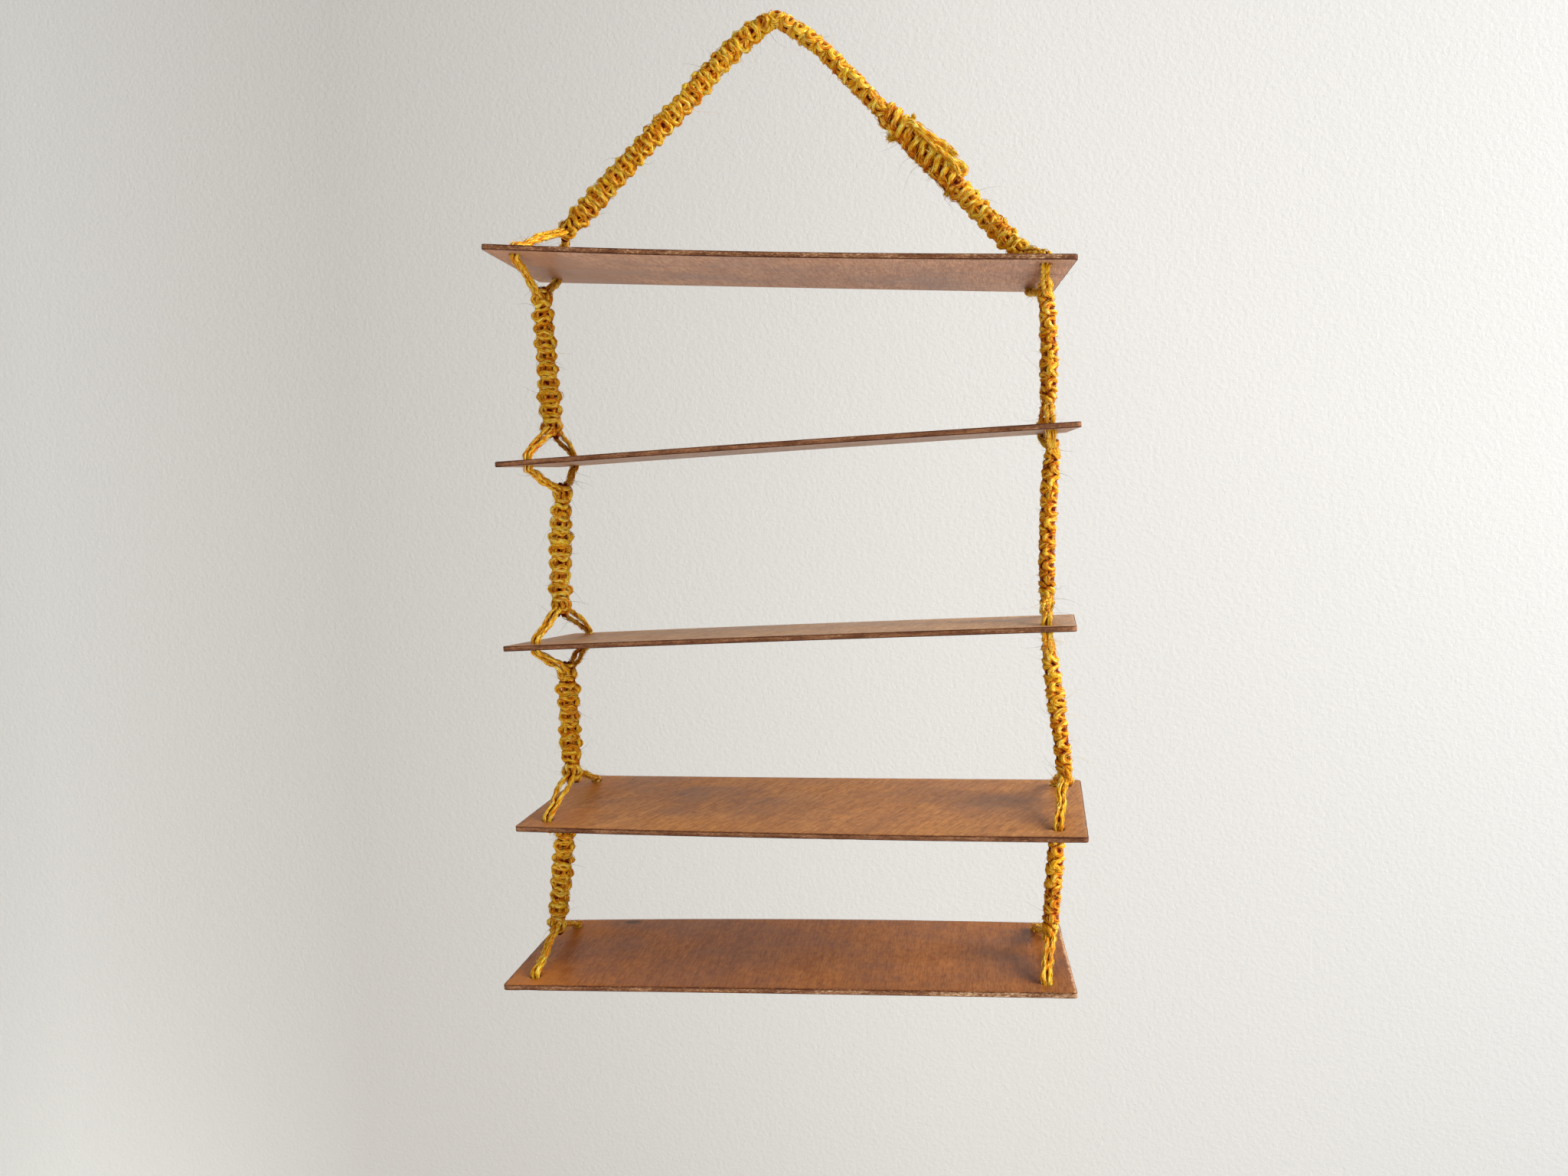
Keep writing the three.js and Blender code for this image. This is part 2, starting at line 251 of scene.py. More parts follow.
# The strip along the right end of a board that is rubbed bare, and the rim along its edges that is dark
END_STRIP = 2.2
RIM = 1.5
ROPE_DYE = (192, 114, 32)


def right_share(look, place):
    """How far a board's point lies to the right, from 0 to 1."""
    along = look.plus(look.part(place, "X"), BOARD_LENGTH / 2 * METRES)
    return look.math("DIVIDE", along, BOARD_LENGTH * METRES)


def away_from_left_holes(look, place):
    """The distance of a board's point from the nearer left hole, in metres."""
    across = look.math("ABSOLUTE", look.part(place, "Y"))
    flat = look.add("ShaderNodeCombineXYZ", {"X": look.part(place, "X"), "Y": across})
    return look.length(look.scaled(flat, (1, 1, 0), (HOLE_X * METRES, -HOLE_Y * METRES, 0)))


def past_rim(look, place):
    """How far a board's point lies past the inner border of the rim, as a share of the rim's width."""
    size = look.add("ShaderNodeVectorMath", {0: place}, operation="ABSOLUTE")
    along = look.less(look.part(size, "X"), BOARD_LENGTH / 2 * METRES)
    across = look.less(look.part(size, "Y"), BOARD_WIDTH / 2 * METRES)
    nearest = look.math("MAXIMUM", along, across)
    return look.math("DIVIDE", look.plus(nearest, RIM * METRES), RIM * METRES)


def mark_share(look, place, middle, half, noise):
    """How strongly a mark with a ragged border shows at a board's point."""
    ragged = look.plus(look.distance(place, middle, half), look.times(look.less(noise, 0.5), 2.4))
    return look.ramp(ragged, (0.35, 1.0), (1, 0.0))


def face_look(name, colour, seed, degrees, dye, ragged, bare_end, marks_here, right_end_shade):
    """Varnished veneer with its fine grain across the board, soft blotches, rope dye, marks of which some are
    painted shadows, painted shade toward the right end and a ragged rim.
    """
    look = Look(name, 0.5, 0.22)
    place = look.attribute("local")
    turned = look.add("ShaderNodeMapping", {"Vector": place, "Rotation": (0, 0, math.radians(degrees))})
    strokes = look.noise(turned, (1500, 110, 60), (seed, 0, 0), detail=3, roughness=0.6)
    bands = look.noise(turned, (70, 12, 9), (0, seed, 0), detail=3, distortion=0.6)
    clouds = look.noise(place, (13, 26, 13), (0, 0, seed), detail=4, roughness=0.62)
    marks = look.noise(place, (260, 200, 200), (seed, seed, 0), detail=3, roughness=0.7)
    streaks = look.noise(turned, (560, 40, 30), (0, 0, seed), distortion=0.5)
    deep = tuple(0.83 * v for v in colour)
    pale = tuple(min(255, 1.08 * v + 2) for v in colour)
    base = look.ramp(strokes, (0.34, deep), (0.5, colour), (0.66, pale))
    base = look.stain(base, 0.6, streaks, (0.4, (220, 208, 200)), (0.56, WHITE))
    base = look.stain(base, 0.35, bands, (0.38, (214, 200, 190)), (0.6, WHITE))
    base = look.stain(base, 0.6, clouds, (0.38, (206, 192, 182)), (0.56, WHITE))
    base = look.stain(base, 0.6, marks, (0.38, (222, 202, 188)), (0.58, WHITE))
    # Painted shade toward the right end, as a grey tone
    base = look.stain(base, 1.0, right_share(look, place), (0.1, WHITE), (0.9, (right_end_shade,) * 3))
    base = look.stain(base, 0.6, marks, (0.24, (120, 84, 60)), (0.33, WHITE))
    smudge = look.less(clouds, look.times(away_from_left_holes(look, place), 14))
    base = look.mix(look.ramp(smudge, (0, 0.0), (0.34, dye)), base, ROPE_DYE)
    for middle, half, mark, strength in marks_here:
        share = mark_share(look, place, middle, half, clouds)
        base = look.mix(look.times(share, strength), base, mark)
    frayed = look.times(look.less(marks, 0.5), 5.0)
    rim = look.ramp(look.plus(past_rim(look, place), frayed), (0.3, 0.0), (0.55, ragged))
    base = look.mix(rim, base, (92, 52, 30))
    past_end = look.less(look.part(place, "X"), (BOARD_LENGTH / 2 - END_STRIP) * METRES)
    past_end = look.math("DIVIDE", past_end, END_STRIP * METRES)
    past_end = look.plus(past_end, look.times(frayed, 0.45))
    worn = look.ramp(past_end, (0, (176, 118, 78)), (0.75, (214, 176, 138)))
    base = look.mix(look.ramp(past_end, (0, 0.0), (0.3, bare_end)), base, worn)
    rough = look.ramp(clouds, (0.34, 0.4), (0.7, 0.56))
    height = look.plus(strokes, look.times(marks, 0.6))
    return look.finish(base, look.bump(height, 0.1, 0.3), rough)


def edge_look(name, seed, worn, worn_right):
    """Cut plies: brown with pale flecks along the edge, more to the right, dark along both arrises."""
    look = Look(name, 0.65, 0.2)
    place = look.attribute("local")
    flecks = look.noise(place, (520, 520, 1500), (seed, 0, 0), detail=4, roughness=0.7)
    broad = look.noise(place, (45, 45, 300), (0, seed, 0))
    right = look.math("POWER", right_share(look, place), 2)
    base = look.ramp(
        look.plus(flecks, look.times(right, worn_right)),
        (0.34, (96, 58, 34)),
        (0.48, (140, 94, 62)),
        (0.6 - worn, (158, 112, 78)),
        (0.68 - worn, (206, 172, 134)),
        (0.8, (236, 214, 184)),
    )
    base = look.stain(base, 0.8, broad, (0.38, (170, 140, 116)), (0.62, WHITE))
    foot = (0, (84, 52, 34)), (0.16, (170, 132, 104)), (0.22, WHITE)
    plies = (0.34, (255, 250, 240)), (0.38, (196, 170, 146)), (0.43, WHITE)
    brow = (0.8, WHITE), (0.88, (128, 90, 64)), (0.96, (214, 190, 168))
    base = look.stain(base, 0.9, look.attribute("ply", "Fac"), *foot, *plies, *brow)
    return look.finish(base, look.bump(flecks, 0.3, 0.6))


# For each board, top board first: the tones of its top and its underside, and how far its grain is turned
TOP_TONES = ((184, 136, 92), (184, 136, 92), (196, 152, 105), (197, 136, 73), (181, 113, 50))
# The underside of the top board is painted lighter than the others, as painted light in its shade
UNDER_TONES = ((203, 156, 122), (175, 138, 107), (171, 128, 95), (169, 116, 75), (163, 108, 69))
GRAIN_DEGREES = (4, -3, 6, 24, 2)
# How dark each top is painted at its right end, beside its left end, as a grey tone: painted shade that evens
# out the window lamp's stronger light there
RIGHT_END_SHADE = (255, 255, 247, 240, 224)
# Pale flecks on its edge, more of them at the right end, rope dye, how dark its rim is and how bare its end
EDGE_WEAR = (0.03, -0.04, -0.04, -0.02, 0.01)
RIGHT_WEAR = (0.03, 0.02, 0.04, 0.0, 0.16)
DYE = (0.3, 0.3, 0.3, 0.4, 0.55)
UNDER_DYE = 0.3
RAGGED = (0.8, 0.7, 0.6, 0.7, 0.9)
BARE_END = (0.0, 0.0, 0.5, 0.2, 0.9)
# Marks on the faces, some of which are painted shadows: for each its middle, half sizes, colour and strength
MARKS = {
    # Under the top board: a painted shadow of the cords near the back left hole, and painted shade over the
    # left end
    "under_1": (((-156, 16), (6, 27), (118, 80, 48), 0.6), ((-150, 10), (60, 90), (160, 116, 88), 0.8)),
    "top_3": (((186, -56), (5, 5), (214, 178, 136), 0.6),),
    "top_4": (
        ((-74, -23), (1.8, 1.2), (104, 34, 20), 0.95),
        ((-168, 10), (13, 42), (182, 118, 34), 0.5),
        ((-84, 8), (16, 52), (126, 84, 58), 0.4),
        # Painted shadow of the right legs
        ((146, 8), (34, 16), (120, 82, 54), 0.35),
    ),
    "top_5": (
        ((-131, 56), (7, 3.5), (72, 48, 30), 0.85),
        ((-166, 12), (5, 10), (152, 82, 0), 0.9),
        ((-153, -36), (5, 5), (150, 80, 0), 0.85),
        # Painted shadow of the right legs
        ((140, 6), (30, 22), (112, 76, 58), 0.35),
    ),
}


def board_looks(tier):
    """The materials of a board's top, underside and edge."""
    number = tier + 1
    grain = GRAIN_DEGREES[tier]
    top_marks = MARKS.get(f"top_{number}", ())
    under_marks = MARKS.get(f"under_{number}", ())
    ragged = RAGGED[tier]
    top = (DYE[tier], ragged, BARE_END[tier], top_marks, RIGHT_END_SHADE[tier])
    under = (UNDER_DYE, ragged / 2, 0.0, under_marks, 255)
    return (
        face_look(f"board_top_{number}", TOP_TONES[tier], 3.1 * tier, grain, *top),
        face_look(f"board_under_{number}", UNDER_TONES[tier], 7.7 * tier + 1, grain, *under),
        edge_look(f"board_edge_{number}", 2.9 * tier, EDGE_WEAR[tier], RIGHT_WEAR[tier]),
    )


ROPE_LOOKS = (rope_look(), fibre_look())


# Meshes

# A cord: its plies, how far along it a ply turns once, and the sides and spacing of its rings
CORD_DIAMETER = 3.6
PLY_RADIUS = 1.25
PLY_OFFSET = 0.42
CORD_LAY = 14
CORD_SIDES = 12
CORD_STEP = 0.9
RIDGE_RINGS = 8
LINE_STEP = 1.0
SOFT_STEP = 1.5
FIBRE_SIDES = 3
FIBRE_STEP = 1.5
# How far the end of a loose fibre sags, as a share of its length
FIBRE_DROOP = 0.12
CLEARANCE = 0.3


def unit(vectors):
    return vectors / np.maximum(np.linalg.norm(vectors, axis=-1, keepdims=True), 1e-9)


def distances_along(line):
    return np.concatenate([[0], np.cumsum(np.linalg.norm(np.diff(line, axis=0), axis=1))])


def at_distances(values, lengths, distances):
    """Rows of values, known at some lengths, at other distances."""
    return np.stack([np.interp(distances, lengths, values[:, axis]) for axis in range(3)], axis=1)


def even(points, step):
    """The same line with its points about step apart."""
    lengths = distances_along(points)
    count = max(2, round(lengths[-1] / step) + 1)
    return at_distances(points, lengths, np.linspace(0, lengths[-1], count))


def between(t, start, end, first, second):
    return (end - t) / (end - start) * first + (t - start) / (end - start) * second


def smooth_line(points, step):
    """A smooth line through points, with its own points about step apart."""
    points = np.asarray(points, float)
    whole = np.vstack([2 * points[0] - points[1], points, 2 * points[-1] - points[-2]])
    gaps = np.sqrt(np.maximum(np.linalg.norm(np.diff(whole, axis=0), axis=1), 1e-6))
    stretches = []
    for index in range(1, len(whole) - 2):
        p0, p1, p2, p3 = whole[index - 1 : index + 3]
        t1 = gaps[index - 1]
        t2 = t1 + gaps[index]
        t3 = t2 + gaps[index + 1]
        count = max(2, math.ceil(3 * np.linalg.norm(p2 - p1) / step))
        t = np.linspace(t1, t2, count, endpoint=False)[:, None]
        middle = between(t, t1, t2, p1, p2)
        before = between(t, 0, t2, between(t, 0, t1, p0, p1), middle)
        after = between(t, t1, t3, middle, between(t, t2, t3, p2, p3))
        stretches.append(between(t, t1, t2, before, after))
    stretches.append(whole[-2][None])
    return even(np.vstack(stretches), step)


def courses_of(line):
    """The direction of a line at each of its points."""
    return unit(np.gradient(line, axis=0))


def turning_frames(line):
    """Two directions square to the line at each point, carried along it without twisting."""
    courses = courses_of(line)
    first = np.zeros_like(line)
    # Any direction that no cord of the shelf runs along
    start = np.cross(courses[0], [0.31, 0.87, 0.38])
    first[0] = start / np.linalg.norm(start)
    for index in range(1, len(line)):
        carried = first[index - 1] - courses[index] * (first[index - 1] @ courses[index])
        first[index] = carried / np.linalg.norm(carried)
    return first, np.cross(courses, first)


def ply_section(sides, ply_radius, ply_offset):
    """The outline of two plies side by side, as a radius at each side, and how deep each side lies."""
    angles = 2 * math.pi * np.arange(sides) / sides
    radius = ply_offset * np.abs(np.cos(angles))
    radius = radius + np.sqrt(ply_radius**2 - (ply_offset * np.sin(angles)) ** 2)
    return angles, radius, (radius.max() - radius) / (radius.max() - radius.min())


def make_object(name, points, faces, materials, face_looks, values):
    """An object with smooth faces, from points in millimetres. face_looks tells which of the materials
    each face has, and values are what the materials read at each point, by name: numbers or vectors."""
    mesh = bpy.data.meshes.new(name)
    mesh.from_pydata((np.asarray(points) * METRES).tolist(), [], faces)
    mesh.polygons.foreach_set("material_index", np.asarray(face_looks, np.int32))
    mesh.polygons.foreach_set("use_smooth", np.ones(len(faces), bool))
    for key, rows in values.items():
        rows = np.asarray(rows, np.float32)
        kind, field = ("FLOAT", "value") if rows.ndim == 1 else ("FLOAT_VECTOR", "vector")
        mesh.attributes.new(key, kind, "POINT").data.foreach_set(field, rows.ravel())
    for material in materials:
        mesh.materials.append(material)
    piece = bpy.data.objects.new(name, mesh)
    bpy.context.scene.collection.objects.link(piece)
    return piece


def settle(piece, body, node):
    """Puts a piece on its body in place of a node."""
    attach(piece, body)
    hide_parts(node)


class Strands:
    """Cords and loose fibres gathered into one mesh, with what their materials need at each point."""

    def __init__(self, seed):
        self.random = np.random.default_rng(seed)
        self.points = []
        self.straight = []
        self.painted_shade = []
        self.tint = []
        self.quads = []
        self.looks = []
        self.caps = []
        self.cap_looks = []
        self.count = 0

    def tube(self, line, radii, angles, painted_shade, tint, look=0, depth_of=None):
        """A closed tube with rings of the given radii and angles, which are arrays of rings by sides."""
        first, second = turning_frames(line)
        rings, sides = angles.shape
        flat = np.stack([np.cos(angles) * radii, np.sin(angles) * radii], axis=-1)
        points = line[:, None] + first[:, None] * flat[..., :1] + second[:, None] * flat[..., 1:]
        # Each tube reads its own stretch of the fibres' pattern
        far = self.random.uniform(0, 5000)
        lengths = np.repeat((distances_along(line) + far)[:, None], sides, axis=1)
        index = np.arange(rings * sides).reshape(rings, sides) + self.count
        beside = np.roll(index, -1, axis=1)
        quads = np.stack([index[:-1], beside[:-1], beside[1:], index[1:]], axis=-1).reshape(-1, 4)
        # Points deep in a knot get more painted shade
        if depth_of is not None:
            painted_shade = np.maximum(painted_shade, depth_of(points))
        self.points.append(points.reshape(-1, 3))
        self.straight.append(np.dstack([flat, lengths]).reshape(-1, 3))
        self.painted_shade.append(np.broadcast_to(painted_shade, (rings, sides)).reshape(-1))
        self.tint.append(np.full(rings * sides, tint))
        self.quads += quads.tolist()
        self.looks += [look] * len(quads)
        self.caps += [index[0][::-1].tolist(), index[-1].tolist()]
        self.cap_looks += [look, look]
        self.count += rings * sides

    def thin_tube(self, line, radii, tint, look, depth_of=None):
        radii = radii[:, None] * np.ones((1, FIBRE_SIDES))
        sides = 2 * math.pi * np.arange(FIBRE_SIDES) / FIBRE_SIDES
        self.tube(line, radii, np.broadcast_to(sides, radii.shape), 0.0, tint, look, depth_of)

    def wisps(self, line, radius, per_mm, depth_of):
        """Slack fibres that lie along a cord and lift a little from it."""
        random = self.random
        first, second = turning_frames(line)
        for _ in range(random.poisson(per_mm * len(line) * CORD_STEP)):
            count = int(random.uniform(5, 13) / CORD_STEP)
            begin = random.integers(0, max(1, len(line) - count))
            part = slice(begin, begin + count)
            steps = np.linspace(0, 1, len(line[part]))
            if len(steps) < 4:
                continue
            angles = random.uniform(0, 2 * math.pi) + random.uniform(-1.4, 1.4) * steps
            lift = radius * (0.93 + random.uniform(0.02, 0.3) * np.sin(math.pi * steps) ** 0.7)
            points = line[part] + first[part] * (np.cos(angles) * lift)[:, None]
            points = (points + second[part] * (np.sin(angles) * lift)[:, None])[::2]
            taper = np.sin(math.pi * np.linspace(0.12, 0.88, len(points)))
            radii = random.uniform(0.14, 0.34) * taper
            self.thin_tube(points, radii, random.uniform(0, 1), 0, depth_of)

    def cord(self, line, girth=1.0, lay=CORD_LAY, depth_of=None, wisps_per_mm=0.4):
        """A two-ply twisted cord along a line, with painted shade in the valley between its plies. depth_of
        tells how deep in the knots points lie, 0 to 1, which is painted as shade too.
        """
        random = self.random
        line = even(np.asarray(line, float), CORD_STEP)
        rings = np.arange(len(line))
        sides, radius, valley = ply_section(CORD_SIDES, PLY_RADIUS, PLY_OFFSET)
        lengths = rings * CORD_STEP
        wander = np.cumsum(random.normal(0, 0.03, len(line)))
        twist = 2 * math.pi * lengths / lay + wander + random.uniform(0, 2 * math.pi)
        swell = 1 + 0.05 * np.sin(lengths / 7 + random.uniform(0, 6))
        ends = np.minimum(1, 0.55 + np.minimum(rings, rings[::-1]) * 0.25)
        # Ridges of fibres run along the cord
        knots = np.arange(0, len(line) + RIDGE_RINGS, RIDGE_RINGS)
        heights = random.normal(0, 0.06, (len(knots), CORD_SIDES))
        ridges = [np.interp(rings, knots, heights[:, side]) for side in range(CORD_SIDES)]
        rough = np.stack(ridges, axis=1) + random.normal(1, 0.02, (len(line), CORD_SIDES))
        radii = radius[None] * (girth * swell * ends)[:, None] * rough
        # Painted shade in the valley between the two plies
        painted_shade = 0.2 * valley[None] ** 1.5 * np.ones((len(line), 1))
        self.tube(line, radii, sides[None] + twist[:, None], painted_shade, random.uniform(0, 1), 0, depth_of)
        self.wisps(line, girth * CORD_DIAMETER / 2, wisps_per_mm, depth_of)

    def band_cords(self, course, lines, girth, depth, step=CORD_STEP):
        """Cords along lines of band points."""
        for line in lines:
            self.cord(course.place(smooth_line(line, step)), girth, depth_of=depth)

    def fibre(self, root, direction, length, thickness, tint, curl=0.5, look=1):
        """A loose fibre that bends as it goes."""
        random = self.random
        direction = unit(np.asarray(direction, float))
        side = unit(np.cross(direction, random.normal(size=3)))
        steps = np.linspace(0, 1, max(4, math.ceil(length / FIBRE_STEP)))
        bend = curl * length * random.normal()
        wave = 0.1 * length * random.normal()
        turns = random.uniform(3, 7)
        line = root + length * steps[:, None] * direction
        line = line + (bend * steps**2 + wave * (1 - np.cos(turns * steps)) / 2)[:, None] * side
        line = line + (wave * np.sin(turns * steps) * steps)[:, None] * np.cross(direction, side)
        line[:, 2] -= FIBRE_DROOP * length * steps**2
        self.thin_tube(line, thickness * (1 - 0.75 * steps), tint, look)

    def short_fibre(self, root, way, longest, thickness):
        length = self.random.uniform(1.5, longest)
        self.fibre(root, way, length, thickness, self.random.uniform(0.45, 1))

    def long_tint(self):
        """The tint of a long fibre, which is more often dark than pale."""
        dark = self.random.random() < 0.6
        return self.random.uniform(0, 0.3) if dark else self.random.uniform(0.35, 1)

    def object(self, name):
        """All of it as one object."""
        values = {
            "straight": np.vstack(self.straight) * METRES,
            "painted_shade": np.concatenate(self.painted_shade),
            "tint": np.concatenate(self.tint),
        }
        faces = self.quads + self.caps
        looks = self.looks + self.cap_looks
        return make_object(name, np.vstack(self.points), faces, ROPE_LOOKS, looks, values)


class Course:
    """The middle line of a band, with the directions across its flat face and out of it."""

    def __init__(self, points, out, turn_degrees=0.0, sway_degrees=0.0, phase=0.0):
        self.line = smooth_line(points, LINE_STEP)
        self.lengths = distances_along(self.line)
        self.length = self.lengths[-1]
        self.ways = courses_of(self.line)
        out = np.asarray(out, float)
        self.out = unit(out - self.ways * (self.ways @ out)[:, None])
        self.across = np.cross(self.ways, self.out)
        self.turn(turn_degrees + sway_degrees * np.sin(self.lengths / 17 + phase))

    def turn(self, degrees):
        """Turns the band about its own line, by the degrees given for each of its points."""
        turn = np.radians(degrees)[:, None]
        out = self.out * np.cos(turn) + self.across * np.sin(turn)
        self.across = self.across * np.cos(turn) - self.out * np.sin(turn)
        self.out = out

    def place(self, points):
        """Band points, which are across, out and along, as points of the scene in millimetres."""
        distances = points[:, 2]
        middle = at_distances(self.line, self.lengths, np.clip(distances, 0, self.length))
        # Past its ends the band runs straight on
        middle = middle + np.minimum(distances, 0)[:, None] * self.ways[0]
        middle = middle + np.maximum(distances - self.length, 0)[:, None] * self.ways[-1]
        across = unit(at_distances(self.across, self.lengths, distances))
        out = unit(at_distances(self.out, self.lengths, distances))
        return middle + across * points[:, :1] + out * points[:, 1:2]


# Knotted bands

BAND_GIRTH = 1.42
CORE_GIRTH = 1.35
CORE_SPREAD = 1.9
CORE_OUT = 2.1
CORE_SWELL = -0.4
BAND_HALF_WIDTH = 6.75
BAND_HALF_DEPTH = 5.1
KNOT_PITCH = 9.6
KNOT_REACH = 6.8
# How much painted shade the row half way along each knot gets
KNOT_SHADE = 0.24
# The places of the two halves of a square knot along it
HALF_KNOT_PLACES = (0.18, 0.82)
# Half the width of the band at the ears of a knot and between two knots, and how far forward the cord lies
EAR = (6.3, 0.6)
WAIST = (3.9, 0.3)
# The bars over the inner cords: half their length, how far out they lie, and where a cord comes up to one
BAR_HALF = 2.2
BAR_OUT = 3.15
BAR_APPROACH = 1.9
# Loose fibres of a band: half the width and depth that they stand on, and the greatest lengths of the
# short and the long ones
FUZZ_HALF_WIDTH = 5.6
FUZZ_HALF_DEPTH = 3.9
SHORT_FUZZ = 4.5
LONG_FUZZ = 17
# How far inside the ends of a gathering knot its knotted cords start and stop
KNOT_INSET = 0.2
# The swelling of a gathering knot at its hidden end, and how much it grows toward its band
KNOT_SWELL = 0.74
KNOT_GROWTH = 0.28


def square_knots(random, start, end, size, places=HALF_KNOT_PLACES):
    """The lines of the front cord and the back cord of a band of square knots.
    Each half knot lays the front cord over the inner cords and the back cord behind them, from alternate
    sides. Between its two halves a knot has an ear on each side. Between two knots the band is narrower."""
    knots = max(1, round((end - start) / KNOT_PITCH))
    pitch = (end - start) / knots
    middles = [start + (knot + share) * pitch for knot in range(knots) for share in places]
    half = pitch / 2
    front_points = []
    back_points = []
    for index, middle in enumerate(middles):
        side = 1 if index % 2 == 0 else -1
        before = (middles[index - 1] + middle) / 2 if index else middle - half / 2
        girth = size((middle - start) / (end - start)) * (1 + random.normal(0, 0.05))
        width, rise = EAR if index % 2 else WAIST
        lean = random.normal(0.5, 0.35)
        width = side * width * girth
        near = side * BAR_HALF * girth
        far = side * BAR_HALF * BAR_APPROACH * girth
        out = BAR_OUT * girth
        # Across, out and along: out past the side of the band, then over the inner cords to the other side
        front_points += [
            (-width, rise * girth, before),
            (-far, out * 0.5, middle - 0.12 * half),
            (-near, out, middle + lean),
            (near, out, middle - lean),
            (far, out * 0.5, middle + 0.12 * half),
        ]
        back_points += [
            (width, (rise + 0.4) * girth, before),
            (far, -BAR_OUT * 0.3 * girth, middle - 0.2 * half),
            (near, -out, middle),
            (-near, -out, middle),
            (-far, -BAR_OUT * 0.3 * girth, middle + 0.2 * half),
        ]
    lines = []
    for points in (front_points, back_points):
        points = np.array(points) + random.normal(0, 0.25, (len(points), 3))
        # Both ends tuck into the middle of the band
        points[0] = (points[0][0] * 0.2, 0, start - 0.1 * half)
        tail = (points[-1][0] * 0.2, 0, end + 0.1 * half)
        lines.append(np.vstack([points, [tail]]))
    return lines


def inner_cords(random, start, end, spread=CORE_SPREAD, pitch=KNOT_PITCH, reach=CORE_OUT):
    """The cords inside a band, two near its front and two near its back. They swell out between the knots."""
    places = np.linspace(start, end, max(3, round(4 * (end - start) / pitch)))
    swell = np.cos(2 * math.pi * (places - start) / pitch)
    lines = []
    for face in ENDS:
        for side in ENDS:
            wobble = random.normal(0, 0.2, (len(places), 2))
            across = side * (spread - 0.25 * swell) + wobble[:, 0]
            out = face * (reach + CORE_SWELL * swell) + wobble[:, 1]
            lines.append(np.stack([across, out, places], axis=1))
    return lines


def depth_in_band(course, half_width, half_depth, start=0.0, pitch=None, shade_share=KNOT_SHADE):
    """A function that tells how deep in a band points lie: 0 at its skin, 1 half way in, which the rope's
    material paints as shade. Half way along each knot, which a pitch gives the places of, it is a little
    more, except at the ears: painted shade in the row between its two bars."""
    # Every third point of the course is near enough
    line, ways, sides, outs, lengths = (
        values[::3] for values in (course.line, course.ways, course.across, course.out, course.lengths)
    )

    def depth(points):
        flat = points.reshape(-1, 3)
        offsets = flat[:, None] - line[None]
        nearest = (offsets**2).sum(axis=2).argmin(axis=1)
        offset = offsets[np.arange(len(flat)), nearest]
        across = (offset * sides[nearest]).sum(axis=1) / half_width
        out = (offset * outs[nearest]).sum(axis=1) / half_depth
        depths = np.clip(1.9 - 2 * np.hypot(across, out), 0, 1)
        if pitch is not None:
            along = lengths[nearest] + (offset * ways[nearest]).sum(axis=1)
            shade = np.clip(-np.cos(2 * math.pi * (along - start) / pitch), 0, 1)
            rows = shade * np.clip(1.7 - 1.5 * np.abs(across), 0, 1)
            depths = np.clip(depths + shade_share * rows, 0, 1)
        return depths.reshape(points.shape[:-1])

    return depth


def swelling(bulges, reach=0.14):
    """How much a band swells at a place along it, from a list of places and swellings, both as shares."""
    return lambda place: 1 + sum(
        swell * math.exp(-(((place - middle) / reach) ** 2)) for middle, swell in bulges
    )


def fuzz(strands, course, start, end, short_per_mm=2.6, long_per_mm=0.24, size=1.0):
    """Loose fibres that stand out of a band."""
    random = strands.random
    for per_mm in (short_per_mm, long_per_mm):
        for _ in range(round((end - start) * per_mm)):
            angle = random.uniform(0, 2 * math.pi)
            place = random.uniform(start, end)
            across = math.cos(angle) * FUZZ_HALF_WIDTH * size
            out = math.sin(angle) * FUZZ_HALF_DEPTH * size
            flat = np.array([[across, out, place]])
            root = course.place(flat)[0]
            above = course.place(flat * [[1.5, 1.5, 1]])[0]
            along = course.place(flat + [[0, 0, 1]])[0] - root
            outward = unit(above - root)
            lean = along * random.normal(0, 1.1) + 0.4 * random.normal(size=3)
            if per_mm == short_per_mm:
                strands.short_fibre(root, 0.5 * outward + lean, SHORT_FUZZ, 0.13)
            else:
                reach = random.gamma(3, 2.3) + 2
                tint = strands.long_tint()
                strands.fibre(root, outward + 0.6 * lean, min(reach, LONG_FUZZ), 0.12, tint, 0.7)


def band_piece(
    name, course, start, end, seed, bulges=(), skin=1.0, places=HALF_KNOT_PLACES, reach=CORE_OUT,
    shade=KNOT_SHADE, girth=BAND_GIRTH,
):
    """A band of square knots along a course. Its inner cords reach as far as its knotted cords."""
    strands = Strands(seed)
    random = strands.random
    pitch = (end - start) / max(1, round((end - start) / KNOT_PITCH))
    depth = depth_in_band(course, BAND_HALF_WIDTH * skin, BAND_HALF_DEPTH * skin, start, pitch, shade)
    strands.band_cords(course, square_knots(random, start, end, swelling(bulges), places), girth, depth)
    cores = inner_cords(random, start, end, pitch=pitch, reach=reach)
    strands.band_cords(course, cores, CORE_GIRTH, depth, SOFT_STEP)
    fuzz(strands, course, start, end)
    return strands.object(name)


